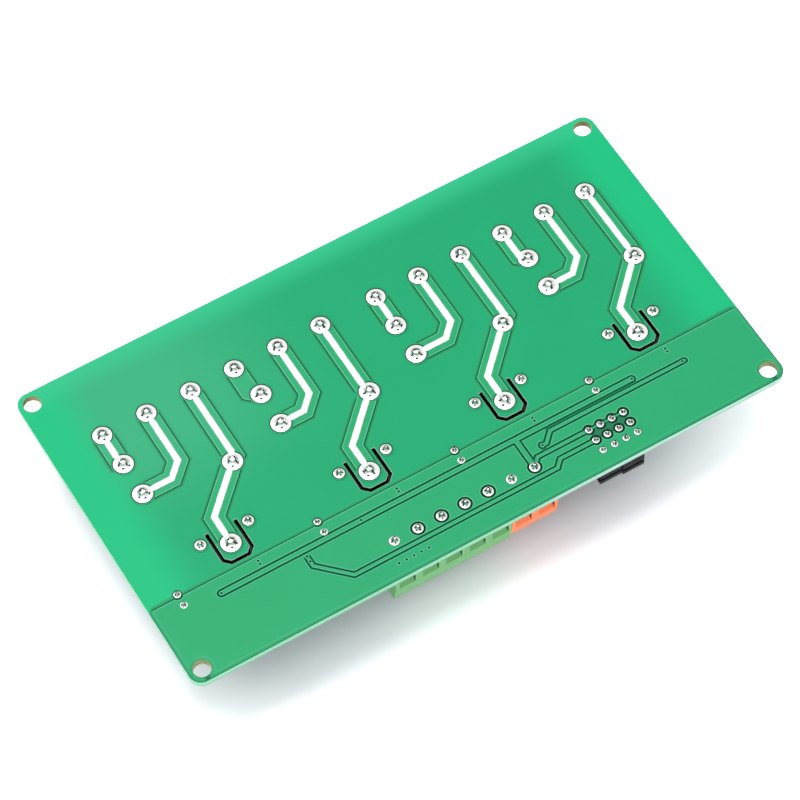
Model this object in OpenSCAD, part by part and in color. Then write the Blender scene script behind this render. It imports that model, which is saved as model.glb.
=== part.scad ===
// Four-channel relay module board, lying with its solder side up on the tops of its relays.
// Origin: centre of the mounting-hole pattern on the solder face. +X along the board,
// +Y towards the output strips, +Z out of the solder face. Parts below the board are drawn
// upwards from its component face and turned over by on_component_side(). Across the board,
// each row of parts is placed from the row before it, and the board is as deep as they need.

/* [Board] */
// Thickness of the laminate
board_t = 1.6; // [1:0.1:2.4]
// Radius of the board's corners
corner_r = 2.5; // [1:0.1:3]
// Diameter of the mounting holes
hole_d = 3.5; // [2.5:0.1:4]
// Distance from the mounting holes to the board's ends
hole_inset_x = 2.75; // [2.6:0.05:5]
// Distance from the mounting holes to the board's near and far edges
hole_inset_y = 2.7; // [2.6:0.1:4]
// Clearance between the mounting holes and the output strips
hole_clear = 0.55; // [0.4:0.05:3]
// Diameter of the small plated through holes
via_d = 0.45; // [0.3:0.05:0.6]
// Distance from the near edge to the input pins
near_margin = 7.45; // [7:0.05:10]
// Distance from the output strips to the far edge
far_margin = 1.85; // [0.5:0.05:5]

/* [Copper] */
// Thickness of the copper with its mask
copper_t = 0.1; // [0.05:0.01:0.2]
// Width of the load-carrying tracks
power_track_w = 3.8; // [2.5:0.1:4]
// Width of the tinned strips on the load-carrying tracks
strip_w = 1.4; // [0.8:0.1:2]
// Height of solder on the tinned strips
strip_t = 0.25; // [0.1:0.05:0.5]
// Width of the main signal track
main_track_w = 1; // [0.6:0.05:1.1]
// Width of the thin signal tracks
thin_track_w = 0.7; // [0.4:0.05:0.8]
// Width of the links between the first row of header pads
link_w = 0.4; // [0.2:0.05:0.6]
// Width of the gap between copper areas
groove_w = 0.35; // [0.2:0.05:0.4]
// Distance from the copper to the board's edge
edge_margin = 0.4; // [0.2:0.05:0.8]

/* [Solder joints] */
// Solder pad of an output terminal
output_pad_d = 3.8; // [3:0.1:4.2]
// Solder pad of a relay contact pin
contact_pad_d = 4; // [3:0.1:4.4]
// Solder pad of a relay coil pin
coil_pad_d = 2.2; // [1.8:0.1:2.4]
// Solder pad of an indicator lead
led_pad_d = 1.5; // [1.3:0.1:1.6]
// Solder pad of an input terminal
input_pad_d = 2.2; // [1.8:0.1:2.4]
// Solder pad of a header pin
header_pad_d = 1.6; // [1.4:0.1:1.7]
// Height of a large solder joint
joint_h = 1.1; // [0.6:0.1:1.6]
// Height of a small solder joint
small_joint_h = 0.8; // [0.5:0.1:1.2]
// How far a lead stands out of its solder joint
lead_tip = 0.15; // [0:0.05:0.4]

/* [Relays] */
// Width of a relay along the board
relay_w = 27.3; // [24:0.1:32]
// Depth of a relay across the board
relay_d = 32.4; // [29:0.1:38]
// Height of a relay from the board
relay_h = 20.1; // [19:0.1:26]
// Smallest gap between relays
relay_gap = 2.4; // [0.5:0.1:4]
// Middle of the row of relays along the board
relay_row_x = 0.4; // [0:0.1:0.8]
// Height of the feet under a relay
relay_foot_h = 0.4; // [0.2:0.1:0.8]
// Height of the seam between a relay's base and cover
relay_seam_h = 3.4; // [2.5:0.1:5]
// Width of the isolating slot around the common contact
slot_w = 0.75; // [0.5:0.05:1]
// Distance between the two legs of the isolating slot
slot_leg_pitch = 6.1; // [5.9:0.1:6.5]

/* [Output strips] */
// Distance between output terminals
output_pitch = 9.5; // [8.5:0.1:10.5]
// Smallest gap between the two strips
strip_gap = 1.2; // [0.4:0.1:3]
// Middle of the two strips along the board
strip_row_x = 0.2; // [0:0.1:0.4]
// Gap between the relays and the strips
strip_clear = 1.1; // [0.5:0.1:3]
// Depth of a strip
strip_d = 16.6; // [15.6:0.1:19]
// Distance from a strip's back to its pins
strip_back = 2.6; // [2.2:0.1:3.2]
// Distance from a strip's pins to its screws
screw_reach = 7; // [6:0.1:8]
// Height of a strip's barriers
barrier_h = 17.6; // [15:0.1:18.8]
// Thickness of a barrier
barrier_t = 1.4; // [1:0.1:1.8]
// Height of the ledge that carries the contact plates
ledge_h = 7; // [6:0.1:8]
// Thickness of a contact plate
contact_t = 1; // [0.6:0.1:1.4]
// Thickness of a square clamping washer
washer_t = 0.8; // [0.5:0.1:1.2]
// Height of an output screw's head
output_head_h = 2.4; // [1.6:0.1:3]
// Diameter of an output screw's shank
output_shank_d = 3.4; // [2.8:0.1:4]

/* [Input terminals] */
// Distance between input terminals
input_pitch = 5.08; // [4.5:0.01:6]
// Where the first input pin stands along the board
input_x = -18.1; // [-19:0.1:-17.5]
// Depth of a terminal housing
housing_d = 9; // [8.6:0.1:10.5]
// Distance from the pins to a housing's front
housing_front = 4.4; // [4.2:0.1:5]
// Height of the taller housings
housing_h = 12.9; // [12.2:0.1:15]
// How much lower the supply housing is
supply_drop = 1; // [0:0.1:1.1]
// Height of the ledge above the wire entries
entry_top_h = 8.3; // [7.5:0.1:9]
// Depth of the sunk face around a wire entry
entry_sink = 0.9; // [0.4:0.1:1.2]
// Thickness of the walls beside a wire cage
way_wall = 0.79; // [0.6:0.01:0.9]
// Distance from the housings to the middle of the driver parts
driver_clear = 3.7; // [3.5:0.1:6]

/* [Header] */
// Distance between header pins
header_pitch = 2.54; // [2.3:0.01:2.8]
// Distance from the last terminal to the first column of header pins
header_gap = 10.38; // [9:0.01:12]
// How much farther in than the input pins the first row of header pins is
header_rise = 1.6; // [1.2:0.1:1.8]
// Height of the header's plastic base
header_base_h = 2.5; // [2:0.1:3]
// Height of the header pins from the board
header_pin_h = 8; // [7.8:0.1:9]
// Gap between jumper caps
cap_clear = 0.14; // [0.05:0.01:0.3]
// Thickness of a jumper cap over its clip
cap_roof = 0.7; // [0.5:0.1:1.2]

/* [Small parts] */
// Diameter of an indicator lens
led_d = 3; // [2.8:0.1:3.4]
// Height of an indicator from its rim to its crown
led_h = 5.3; // [4:0.1:6]
// Distance from a relay's middle to its indicator
led_offset = 13.8; // [13.5:0.1:14.2]
// Distance from the middle of the driver parts to the relays
relay_clear = 4; // [3.7:0.1:6]
// Width of an optocoupler's body
opto_w = 4.4; // [4:0.1:5]
// Depth of an optocoupler's body
opto_d = 3.9; // [3.6:0.1:4.4]
// Height of an optocoupler
opto_h = 2.1; // [1.8:0.1:2.4]
// Length of a diode's body
diode_w = 4.3; // [3.9:0.1:4.8]
// Width of a diode's body
diode_d = 2.6; // [2.3:0.1:2.9]
// Height of a diode
diode_h = 2.2; // [1.9:0.1:2.5]
// Length of a resistor
resistor_l = 2; // [1.7:0.1:2.3]
// Width of a resistor
resistor_w = 1.25; // [1.1:0.05:1.4]

/* [Hidden] */

$fn = 32;
fit = 0.01;                 // clearance of a lead in its solder or its moulding
bore_fit = 0.1;             // clearance around a screw's shank
past = 1;                   // how far a cut reaches past the surface that it opens
channels = 4;
way_counts = [3, 2, 2];     // ways of the three input blocks
ways_per_strip = 6;
green = [0.45, 0.72, 0.45];
orange = [1, 0.5, 0.3];

// Leads: [size along X, size along Y, drilled hole]
contact_lead = [2, 0.8, 2.4];
coil_lead = [0.8, 0.6, 1.2];
output_lead = [1.2, 1, 1.8];
input_lead = [0.9, 0.7, 1.3];
header_lead = [0.64, 0.64, 1];
led_lead = [0.5, 0.5, 0.9];

// Solder joints
plug_stop = 0.2;            // how far the solder stops short of the component face
joint_rim = 0.12;           // height of a joint at the rim of its pad
joint_tip = 0.1;            // solder around the corners of a lead's end
joint_tip_share = 0.3;      // largest radius of a joint's end, as a share of its pad

// Along the board: one strip serves a pair of relays
strip_end_t = barrier_t / 2 + 0.1;
strip_l = ways_per_strip * output_pitch + 2 * strip_end_t;
pair_slack = 0.4;           // how much farther apart the strips are than two relay pitches
pair_w = max(2 * (relay_w + relay_gap) + pair_slack, strip_l + strip_gap);
relay_pitch = (pair_w - pair_slack) / 2;
strip_pitch = pair_w;
board_w = pair_w + strip_l + 2 * (hole_inset_x + hole_d / 2 + hole_clear);
hole_pitch_x = board_w - 2 * hole_inset_x;

// Across the board: terminals, driver parts, relays and strips
housing_back = housing_d - housing_front;
board_d = near_margin + housing_back + driver_clear + relay_clear + relay_d + strip_clear + strip_d
    + far_margin;
hole_pitch_y = board_d - 2 * hole_inset_y;
input_y = near_margin - board_d / 2;
driver_y = input_y + housing_back + driver_clear;
relay_y = driver_y + relay_clear + relay_d / 2;
output_y = relay_y + relay_d / 2 + strip_clear + strip_back;
header_y = input_y + header_rise;
led_y = driver_y + 1.4;
ground_edge_y = driver_y + 2;

// Contact pins of a relay, from the middle of its body
contact_pins = [[-8.9, 12.3], [-8.9, 4.7], [8.9, 2.1], [0, -13.1]];
coil_pins = [[-5.08, -10.6], [5.08, -10.6]];
relay_seat = 1.5;           // depth of a pin's seat in the relay's base
relay_chamfer = 0.8;
relay_foot_w = 3;
seam_depth = 0.25;
seam_w = 0.3;

function relay_x(k) = relay_row_x + (k - (channels - 1) / 2) * relay_pitch;
function contact_at(k, i) = [relay_x(k), relay_y] + contact_pins[i];
function coil_at(k, i) = [relay_x(k), relay_y] + coil_pins[i];
last = channels - 1;

function strip_x(s) = strip_row_x + (s - 0.5) * strip_pitch;
function output_x(s, w) = strip_x(s) + (w - (ways_per_strip - 1) / 2) * output_pitch;
function output_at(k, i) = [output_x(floor(k / 2), 3 * (k % 2) + i), output_y];
output_spots = [for (k = [0:last]) for (i = [0:2]) output_at(k, i)];
output_screw_y = output_y + screw_reach;
washer_clear = 0.35;        // gap between a washer and the barriers
washer_w = output_pitch - barrier_t - 2 * washer_clear;
washer_margin = 0.4;        // how far a washer stands out around its screw's head
output_head_d = washer_w - 2 * washer_margin;
plate_back_gap = 0.6;       // gap between a contact plate and the strip's back wall
screw_well_h = 1.5;         // floor of an output screw's well
well_gap = 1.3;             // free depth under an output screw
output_shank_l = ledge_h + contact_t + washer_t - screw_well_h - well_gap;
output_cross_w = 1;         // width of an output screw's cross recess
cross_share = 0.6;          // length of a cross recess, as a share of the head

input_count = way_counts[0] + way_counts[1] + way_counts[2];
function input_at(i) = [input_x + i * input_pitch, input_y];
input_spots = [for (i = [0:input_count - 1]) input_at(i)];
inputs_end_x = input_x + (input_count - 0.5) * input_pitch;
first_way = [0, way_counts[0], way_counts[0] + way_counts[1]];
isolated_inputs = [1, 2, 3, 4, 6];
lean = 1;                   // how far a housing's face leans back above its ledge
housing_chamfer = 0.6;
cage_fit = 0.05;
cage_w = input_pitch - 2 * (way_wall + cage_fit);
cage_d = 4.8;
cage_wall = 0.6;
cage_floor_h = 2.6;
cage_h = 6;
cage_shift = -0.2;          // middle of a cage from its pin, across the board
plate_gap = 0.1;            // gap between a pin's plate and the sides of its cage
pin_plate = [cage_w - 2 * (cage_wall + plate_gap), cage_d - 1.4, 0.4];
cage_head_d = cage_w;
cage_head_h = 1.8;
cage_screw_d = cage_w - 0.8;
cage_shank_l = 3.4;
cage_cross_w = 0.7;
cage_screw_gap = 0.6;       // how far a loosened screw's head stands off its cage
head_fit = 0.15;            // clearance around a clamping screw's head
screw_well_d = cage_head_d + 2 * head_fit;
entry_w = cage_w;
entry_floor_h = cage_floor_h + cage_wall;
entry_h = entry_top_h - entry_sink - entry_floor_h;
entry_lip = 0.35;           // how much narrower an entry is than its sunk face
entry_flare = [0.4, 0.2];   // how far the sunk face reaches below and above its entry
tongue_w = 2;               // interlocking tongue on a housing's side
tongue_t = 0.4;
tongue_fit = 0.05;
tongue_inset = 1.6;         // from a housing's front
tongue_drop = 2;            // from the top of the lowest housing
tongue_h = housing_h - supply_drop - tongue_drop;

header_cols = 4;
header_rows = 3;
header_x = inputs_end_x + header_gap;
function header_at(c, r) = [header_x + c * header_pitch, header_y - r * header_pitch];
header_spots = [for (c = [0:header_cols - 1]) for (r = [0:header_rows - 1]) header_at(c, r)];
cap_w = header_pitch - cap_clear;
cap_l = 2 * header_pitch - 0.18;
cap_seats = [0.1, 0.1, 0.45, 0.45];   // how far each cap stands off the header's base
cap_groove = 0.2;           // depth of the grip groove
cap_groove_w = 0.5;
cap_groove_drop = 1.5;      // from the top of a cap to its groove's lower edge
cap_gap = 0.1;              // free height over a clip in its cap
clip_end_gap = 0.2;         // free length at each end of a clip in its cap
clip_t = 0.2;
clip_h = 3.4;

led_lead_pitch = 2.54;
led_rim_h = 1;
led_rim_w = 0.4;            // how far the rim stands out around the lens
led_stand = 0.6;
led_seat = 0.8;             // depth of a lead in its lens
function led_x(k) = relay_x(k) - led_offset;
function led_at(k, i) = [led_x(k), led_y + (0.5 - i) * led_lead_pitch];
led_spots = [for (k = [0:last]) for (i = [0:1]) led_at(k, i)];
contact_spots = [for (k = [0:last]) for (i = [0:3]) contact_at(k, i)];
coil_spots = [for (k = [0:last]) for (i = [0:1]) coil_at(k, i)];

// Driver parts. A gull-wing leg is [reach, width, height at the body].
body_stand = 0.1;           // free height under a moulded body
leg_t = 0.2;
opto_leg = [1, 0.4, 1.2];
opto_leg_y = 1.27;
opto_chamfer = 0.25;
sot_w = 1.3;
sot_d = 2.9;
sot_h = 1.1;
sot_leg = [0.55, 0.4, 0.6];
sot_leg_y = 0.95;
sot_chamfer = 0.15;
tab_t = 0.2;
tab_w = 1.5;
tab_h = 1.2;
tab_inset = 0.95;           // how far a tab reaches in under the body
resistor_h = 0.55;
resistor_end = 0.4;
resistor_stand = 0.05;
cap_over = 0.03;            // how far a resistor's ends stand out above its body

// Their places along the board, from the middle of their relay
transistor_dx = -0.6;
sot_half = sot_w / 2 + sot_leg[0];
opto_half = opto_w / 2 + opto_leg[0];
diode_dx = transistor_dx - sot_half - 1.85 - tab_t - diode_w / 2;
first_resistor_dx = transistor_dx + sot_half + 2.175 + resistor_w / 2;
optocoupler_dx = first_resistor_dx + resistor_w / 2 + 0.175 + opto_half;
resistor_dx = [first_resistor_dx, optocoupler_dx + opto_half + 0.575 + resistor_w / 2];

// Signal tracks, as routes between named points
bus_y = driver_y - 1.3;
far_bus_y = bus_y - 1.7;
near_bus_y = header_y - header_pitch - 1.46;
bus_dx = -6.7;              // end of the main bus from the middle of its relay
bus_start_x = relay_x(0) + bus_dx;
bus_end_x = relay_x(last) + bus_dx;
supply_in = input_at(input_count - 1);
left_drop_x = relay_x(0) + 10.55;
left_drop_bend = 5.6;
left_via_y = [far_bus_y + 0.2, far_bus_y - 1];
far_via = [inputs_end_x + 1.18, far_bus_y - 2];
far_via_pad_d = thin_track_w + 0.3;
far_bus_end = [relay_x(last) + 4.05, far_bus_y];
far_bus_bend = [inputs_end_x + 4.08, far_bus_y];
near_bus_bend = [inputs_end_x + 2.48, header_at(0, 1).y];
near_bus_drop = near_bus_y - near_bus_bend.y;
main_routes = [
    [[bus_start_x, bus_y], [bus_end_x, bus_y]],
    [[supply_in.x, bus_y], supply_in]];
thin_routes = [
    [far_bus_end, far_bus_bend, far_bus_bend - [2, 2], far_via],
    [supply_in, supply_in + [header_rise, header_rise], header_at(0, 0)],
    [header_at(0, 1), near_bus_bend, near_bus_bend + [near_bus_drop, near_bus_drop],
        [left_drop_x + left_drop_bend, near_bus_y], [left_drop_x, near_bus_y + left_drop_bend],
        [left_drop_x, left_via_y[0]]]];
link_route = [header_at(0, 0), header_at(header_cols - 1, 0)];
ground_via_pitch = 1.6;
ground_vias = [for (i = [0:4]) [input_x - 1.7 + i * ground_via_pitch, input_y - 4.6]];
driver_vias = [for (k = [0:last]) for (y = [1.1, 0.35]) [relay_x(k) + 2.4, driver_y + y]];
vias = concat(
    [[bus_start_x, bus_y], [relay_x(1) + bus_dx, bus_y], [bus_end_x, bus_y]],
    [for (y = left_via_y) [left_drop_x, y]], [far_via, far_bus_end - [0.4, 0]],
    ground_vias, driver_vias);

// Load tracks of one channel: outputs to the two fixed contacts and the moving contact
function load_routes(k) = let (t1 = output_at(k, 0), t2 = output_at(k, 1), t3 = output_at(k, 2),
        a = contact_at(k, 0), b = contact_at(k, 1), c = contact_at(k, 2), d = contact_at(k, 3),
        bend = 2.9, run = c.x - d.x) [
    jogged(t1, a),
    [t2, [t2.x, b.y + bend], [t2.x - bend, b.y], b],
    jogged(t3, c),
    [c, [d.x, c.y - run], d]];
// Straight along Y from a, then slanting at 45 degrees into b.
function jogged(a, b) = let (shift = abs(b.x - a.x))
    shift < 0.01 ? [a, [a.x, b.y]] : [a, [a.x, b.y + shift], b];
bare_first_track = [true, false, true, true];

// Slot around the common contact
slot_top_y = contact_at(0, 3).y + 4;
slot_bottom_y = contact_at(0, 3).y - 3.7;
slot_chamfer = 1.2;
function slot_route(k) = let (x = contact_at(k, 3).x, h = slot_leg_pitch / 2) [
    [x - h, slot_top_y], [x - h, slot_bottom_y + slot_chamfer], [x - h + slot_chamfer, slot_bottom_y],
    [x + h - slot_chamfer, slot_bottom_y], [x + h, slot_bottom_y + slot_chamfer], [x + h, slot_top_y]];

// ---------- shared shapes ----------

function unit(v) = v / norm(v);
// Unit normal on the left of the stretch from point i to point i + 1.
function normal(pts, i) = let (v = unit(pts[i + 1] - pts[i])) [-v.y, v.x];

// A band of constant width along a route, with mitred bends.
module ribbon(pts, w) {
    for (i = [0:len(pts) - 2]) let (n = normal(pts, i) * w / 2)
        polygon([pts[i] + n, pts[i + 1] + n, pts[i + 1] - n, pts[i] - n]);
    if (len(pts) > 2) for (i = [1:len(pts) - 2])
        let (a = normal(pts, i - 1), b = normal(pts, i), turn = a.x * b.y - a.y * b.x,
            off = -sign(turn) * w / 2, m = (a + b) / (1 + a * b))
            polygon([pts[i], pts[i] + off * a, pts[i] + off * m, pts[i] + off * b]);
}

module on_component_side() {
    translate([0, 0, -board_t]) mirror([0, 0, 1]) children();
}

module at_spots(spots) {
    for (p = spots) translate(p) children();
}

module centred_box(x, y, z0, z1) {
    translate([-x / 2, -y / 2, z0]) cube([x, y, z1 - z0]);
}

module rounded_plate_2d(w, d, r) {
    square([w - 2 * r, d], center = true);
    square([w, d - 2 * r], center = true);
    for (x = [-1, 1]) for (y = [-1, 1]) translate([x * (w / 2 - r), y * (d / 2 - r)]) circle(r);
}

// A lead through the board, from height z0 to height z1.
module lead(size, z0, z1) {
    centred_box(size[0], size[1], z0, z1);
}
// A lead's size with clearance around it, for the hole that it stands in.
function loose(size) = size + [2 * fit, 2 * fit, 0];

// Solder around a lead: a plug in the drilled hole and a hollow-sided cone on the pad.
module solder_joint(pad_d, lead_size, h) {
    tip_r = min(pad_d * joint_tip_share, norm([lead_size[0], lead_size[1]]) / 2 + joint_tip);
    plug_r = lead_size[2] / 2 - fit;
    plug_z = plug_stop - board_t;
    flare = [for (a = [0:22.5:90])
        [tip_r + (pad_d / 2 - tip_r) * (1 - sin(a)), joint_rim + (h - joint_rim) * (1 - cos(a))]];
    difference() {
        rotate_extrude() polygon(concat([[0, plug_z], [plug_r, plug_z], [plug_r, 0], [pad_d / 2, 0]],
            flare, [[0, h]]));
        lead(loose(lead_size), -board_t, h + past);
    }
}

// ---------- board and copper ----------

module pad_discs(spots, d) {
    at_spots(spots) circle(d = d + 2 * fit);
}

module mounting_holes_2d(d) {
    for (x = [-1, 1]) for (y = [-1, 1]) translate([x * hole_pitch_x / 2, y * hole_pitch_y / 2]) circle(d = d);
}

module all_pads_2d() {
    pad_discs(output_spots, output_pad_d);
    pad_discs(contact_spots, contact_pad_d);
    pad_discs(coil_spots, coil_pad_d);
    pad_discs(led_spots, led_pad_d);
    pad_discs(input_spots, input_pad_d);
    pad_discs(header_spots, header_pad_d);
}

module board() {
    color("seagreen")
    translate([0, 0, -board_t]) linear_extrude(board_t) difference() {
        rounded_plate_2d(board_w, board_d, corner_r);
        mounting_holes_2d(hole_d);
        at_spots(output_spots) circle(d = output_lead[2]);
        at_spots(contact_spots) circle(d = contact_lead[2]);
        at_spots(coil_spots) circle(d = coil_lead[2]);
        at_spots(led_spots) circle(d = led_lead[2]);
        at_spots(input_spots) circle(d = input_lead[2]);
        at_spots(header_spots) circle(d = header_lead[2]);
        at_spots(vias) circle(d = via_d);
        for (k = [0:last]) ribbon(slot_route(k), slot_w);
    }
}

// Everything that the ground copper keeps clear of.
module ground_clearances_2d() {
    for (r = main_routes) ribbon(r, main_track_w + 2 * groove_w);
    for (r = thin_routes) ribbon(r, thin_track_w + 2 * groove_w);
    ribbon(link_route, link_w + 2 * groove_w);
    for (i = isolated_inputs) translate(input_at(i)) circle(d = input_pad_d + 2 * groove_w);
    for (c = [0:header_cols - 1]) for (r = [0:1]) translate(header_at(c, r))
        circle(d = header_pad_d + 2 * groove_w);
    translate(header_at(0, 1)) square([(header_cols - 1) * header_pitch, header_pitch]);
    for (k = [0:last]) translate(led_at(k, 0)) circle(d = led_pad_d + 2 * groove_w);
    for (x = [bus_start_x, bus_end_x]) translate([x, bus_y]) circle(d = main_track_w + 2 * groove_w);
    translate(far_bus_end) circle(d = thin_track_w + 2 * groove_w);
    translate(far_via) circle(d = far_via_pad_d + 2 * groove_w);
    mounting_holes_2d(hole_d + 2 * groove_w);
    all_pads_2d();
    at_spots(vias) circle(d = via_d);
}

module ground_plane() {
    near_y = -board_d / 2 + edge_margin;
    color("mediumseagreen") linear_extrude(copper_t) difference() {
        intersection() {
            rounded_plate_2d(board_w - 2 * edge_margin, board_d - 2 * edge_margin, corner_r - edge_margin);
            translate([-board_w / 2, near_y]) square([board_w, ground_edge_y - near_y]);
        }
        ground_clearances_2d();
    }
}

module power_tracks() {
    color("mediumseagreen") linear_extrude(copper_t) difference() {
        for (k = [0:last]) for (r = load_routes(k)) ribbon(r, power_track_w);
        all_pads_2d();
        for (k = [0:last]) ribbon(slot_route(k), slot_w + 2 * groove_w);
    }
}

module signal_tracks() {
    color("mediumaquamarine") linear_extrude(copper_t) difference() {
        union() {
            for (r = main_routes) ribbon(r, main_track_w);
            for (r = thin_routes) ribbon(r, thin_track_w);
            ribbon(link_route, link_w);
            for (x = [bus_start_x, bus_end_x]) translate([x, bus_y]) circle(d = main_track_w);
            translate(far_bus_end) circle(d = thin_track_w);
            translate(far_via) circle(d = far_via_pad_d);
        }
        all_pads_2d();
        at_spots(vias) circle(d = via_d);
    }
}

module tinned_strips() {
    color("gainsboro") translate([0, 0, copper_t]) linear_extrude(strip_t) difference() {
        for (k = [0:last]) let (routes = load_routes(k))
            for (i = [0:3]) if (i > 0 || bare_first_track[k]) ribbon(routes[i], strip_w);
        all_pads_2d();
    }
}

module output_joints() {
    color("silver") at_spots(output_spots) solder_joint(output_pad_d, output_lead, joint_h);
}

module contact_joints() {
    color("silver") at_spots(contact_spots) solder_joint(contact_pad_d, contact_lead, joint_h);
}

module coil_joints() {
    color("silver") at_spots(coil_spots) solder_joint(coil_pad_d, coil_lead, joint_h);
}

module led_joints() {
    color("silver") at_spots(led_spots) solder_joint(led_pad_d, led_lead, small_joint_h);
}

module input_joints() {
    color("silver") at_spots(input_spots) solder_joint(input_pad_d, input_lead, joint_h);
}

module header_joints() {
    color("silver") at_spots(header_spots) solder_joint(header_pad_d, header_lead, small_joint_h);
}

// ---------- relays ----------

// A block whose upper edges are chamfered along all four sides.
module chamfered_block(w, d, z0, z1, c) {
    intersection() {
        translate([0, d / 2, 0]) rotate([90, 0, 0]) linear_extrude(d) polygon([[-w / 2, z0], [w / 2, z0],
            [w / 2, z1 - c], [w / 2 - c, z1], [c - w / 2, z1], [-w / 2, z1 - c]]);
        translate([-w / 2, 0, 0]) rotate([90, 0, 90]) linear_extrude(w) polygon([[-d / 2, z0], [d / 2, z0],
            [d / 2, z1 - c], [d / 2 - c, z1], [c - d / 2, z1], [-d / 2, z1 - c]]);
    }
}

// A sealed relay: cover and base as one body, with feet and a seam.
module relay(k) {
    foot_x = (relay_w - relay_foot_w) / 2;
    foot_y = (relay_d - relay_foot_w) / 2;
    color([0.13, 0.13, 0.15]) on_component_side() translate([relay_x(k), relay_y, 0]) difference() {
        union() {
            chamfered_block(relay_w, relay_d, relay_foot_h, relay_h, relay_chamfer);
            for (x = [-1, 1]) for (y = [-1, 1]) translate([x * foot_x, y * foot_y, 0])
                centred_box(relay_foot_w, relay_foot_w, 0, relay_foot_h);
        }
        difference() {
            centred_box(relay_w + past, relay_d + past, relay_seam_h, relay_seam_h + seam_w);
            centred_box(relay_w - 2 * seam_depth, relay_d - 2 * seam_depth, 0, relay_h);
        }
        for (p = contact_pins) translate(p) lead(loose(contact_lead), -past, relay_foot_h + relay_seat);
        for (p = coil_pins) translate(p) lead(loose(coil_lead), -past, relay_foot_h + relay_seat);
    }
}

module relay_pins(k) {
    bottom = -board_t - relay_foot_h - relay_seat;
    color("silver") {
        for (i = [0:3]) translate(contact_at(k, i)) lead(contact_lead, bottom, joint_h + lead_tip);
        for (i = [0:1]) translate(coil_at(k, i)) lead(coil_lead, bottom, joint_h + lead_tip);
    }
}

// ---------- output strips ----------

// One moulded barrier strip: a rail with a ledge, a back wall and a barrier on each side of a way.
module output_strip(s) {
    back_y = output_y - strip_back;
    back_wall = strip_back - output_lead[1] / 2 - plate_back_gap;
    color([0.1, 0.1, 0.11]) on_component_side() difference() {
        union() {
            translate([strip_x(s) - strip_l / 2, back_y, 0]) cube([strip_l, strip_d, ledge_h]);
            translate([strip_x(s) - strip_l / 2, back_y, 0]) cube([strip_l, back_wall, barrier_h]);
            for (w = [0:ways_per_strip]) let (x = output_x(s, w) - output_pitch / 2,
                    t = w == 0 || w == ways_per_strip ? 2 * strip_end_t : barrier_t)
                translate([x - t / 2, back_y, 0]) cube([t, strip_d, barrier_h]);
        }
        for (w = [0:ways_per_strip - 1]) {
            translate([output_x(s, w), output_y, 0]) lead(loose(output_lead), -past, ledge_h + past);
            translate([output_x(s, w), output_screw_y, screw_well_h])
                cylinder(d = output_shank_d + 2 * bore_fit, h = ledge_h);
        }
    }
}

module contact_plates() {
    plate_l = screw_reach + washer_w / 2 + output_lead[1] / 2;
    color("gold") at_spots(output_spots) {
        lead(output_lead, -board_t - ledge_h, joint_h + lead_tip);
        on_component_side() difference() {
            translate([-washer_w / 2, -output_lead[1] / 2, ledge_h]) cube([washer_w, plate_l, contact_t]);
            translate([0, screw_reach, ledge_h - past])
                cylinder(d = output_shank_d + 2 * bore_fit, h = contact_t + 2 * past);
        }
    }
}

module clamping_washers() {
    base = ledge_h + contact_t;
    color("silver") on_component_side() at_spots(output_spots)
        translate([0, screw_reach, 0]) difference() {
            centred_box(washer_w, washer_w, base, base + washer_t);
            translate([0, 0, base - past])
                cylinder(d = output_shank_d + 2 * bore_fit, h = washer_t + 2 * past);
        }
}

// A screw with a cross recess, its head's underside at height z.
module cross_screw(head_d, head_h, shank_d, shank_l, slot) {
    difference() {
        union() {
            cylinder(d = head_d, h = head_h);
            translate([0, 0, -shank_l]) cylinder(d = shank_d, h = shank_l);
        }
        centred_box(head_d * cross_share, slot, head_h / 2, head_h + past);
        centred_box(slot, head_d * cross_share, head_h / 2, head_h + past);
    }
}

module output_screws() {
    seat = ledge_h + contact_t + washer_t;
    color("silver") on_component_side() at_spots(output_spots)
        translate([0, screw_reach, seat])
            cross_screw(output_head_d, output_head_h, output_shank_d, output_shank_l, output_cross_w);
}

// ---------- input terminals ----------

// Side outline of a housing, [distance in front of the pins, height].
function housing_outline(h) = [[-housing_back, 0], [housing_front, 0],
    [housing_front, entry_top_h], [housing_front - lean, h], [housing_chamfer - housing_back, h],
    [-housing_back, h - housing_chamfer]];

// A row of ways in one housing, with a groove on the left side and a tongue on the right side.
module terminal_block(first, ways, h, shade) {
    left = -input_pitch / 2;
    length = ways * input_pitch;
    tongue_y = tongue_inset - housing_front;
    bite = 0.1;
    color(shade) on_component_side() translate(input_at(first)) difference() {
        union() {
            translate([left, 0, 0]) rotate([90, 0, 90]) linear_extrude(length)
                polygon([for (p = housing_outline(h)) [-p[0], p[1]]]);
            translate([left + length - bite, tongue_y, 0]) cube([tongue_t + bite, tongue_w, tongue_h]);
        }
        translate([left - past, tongue_y - tongue_fit, -past])
            cube([tongue_t + tongue_fit + past, tongue_w + 2 * tongue_fit, tongue_h + tongue_fit + past]);
        for (w = [0:ways - 1]) translate([w * input_pitch, 0, 0]) way_cavity(h);
    }
}

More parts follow.
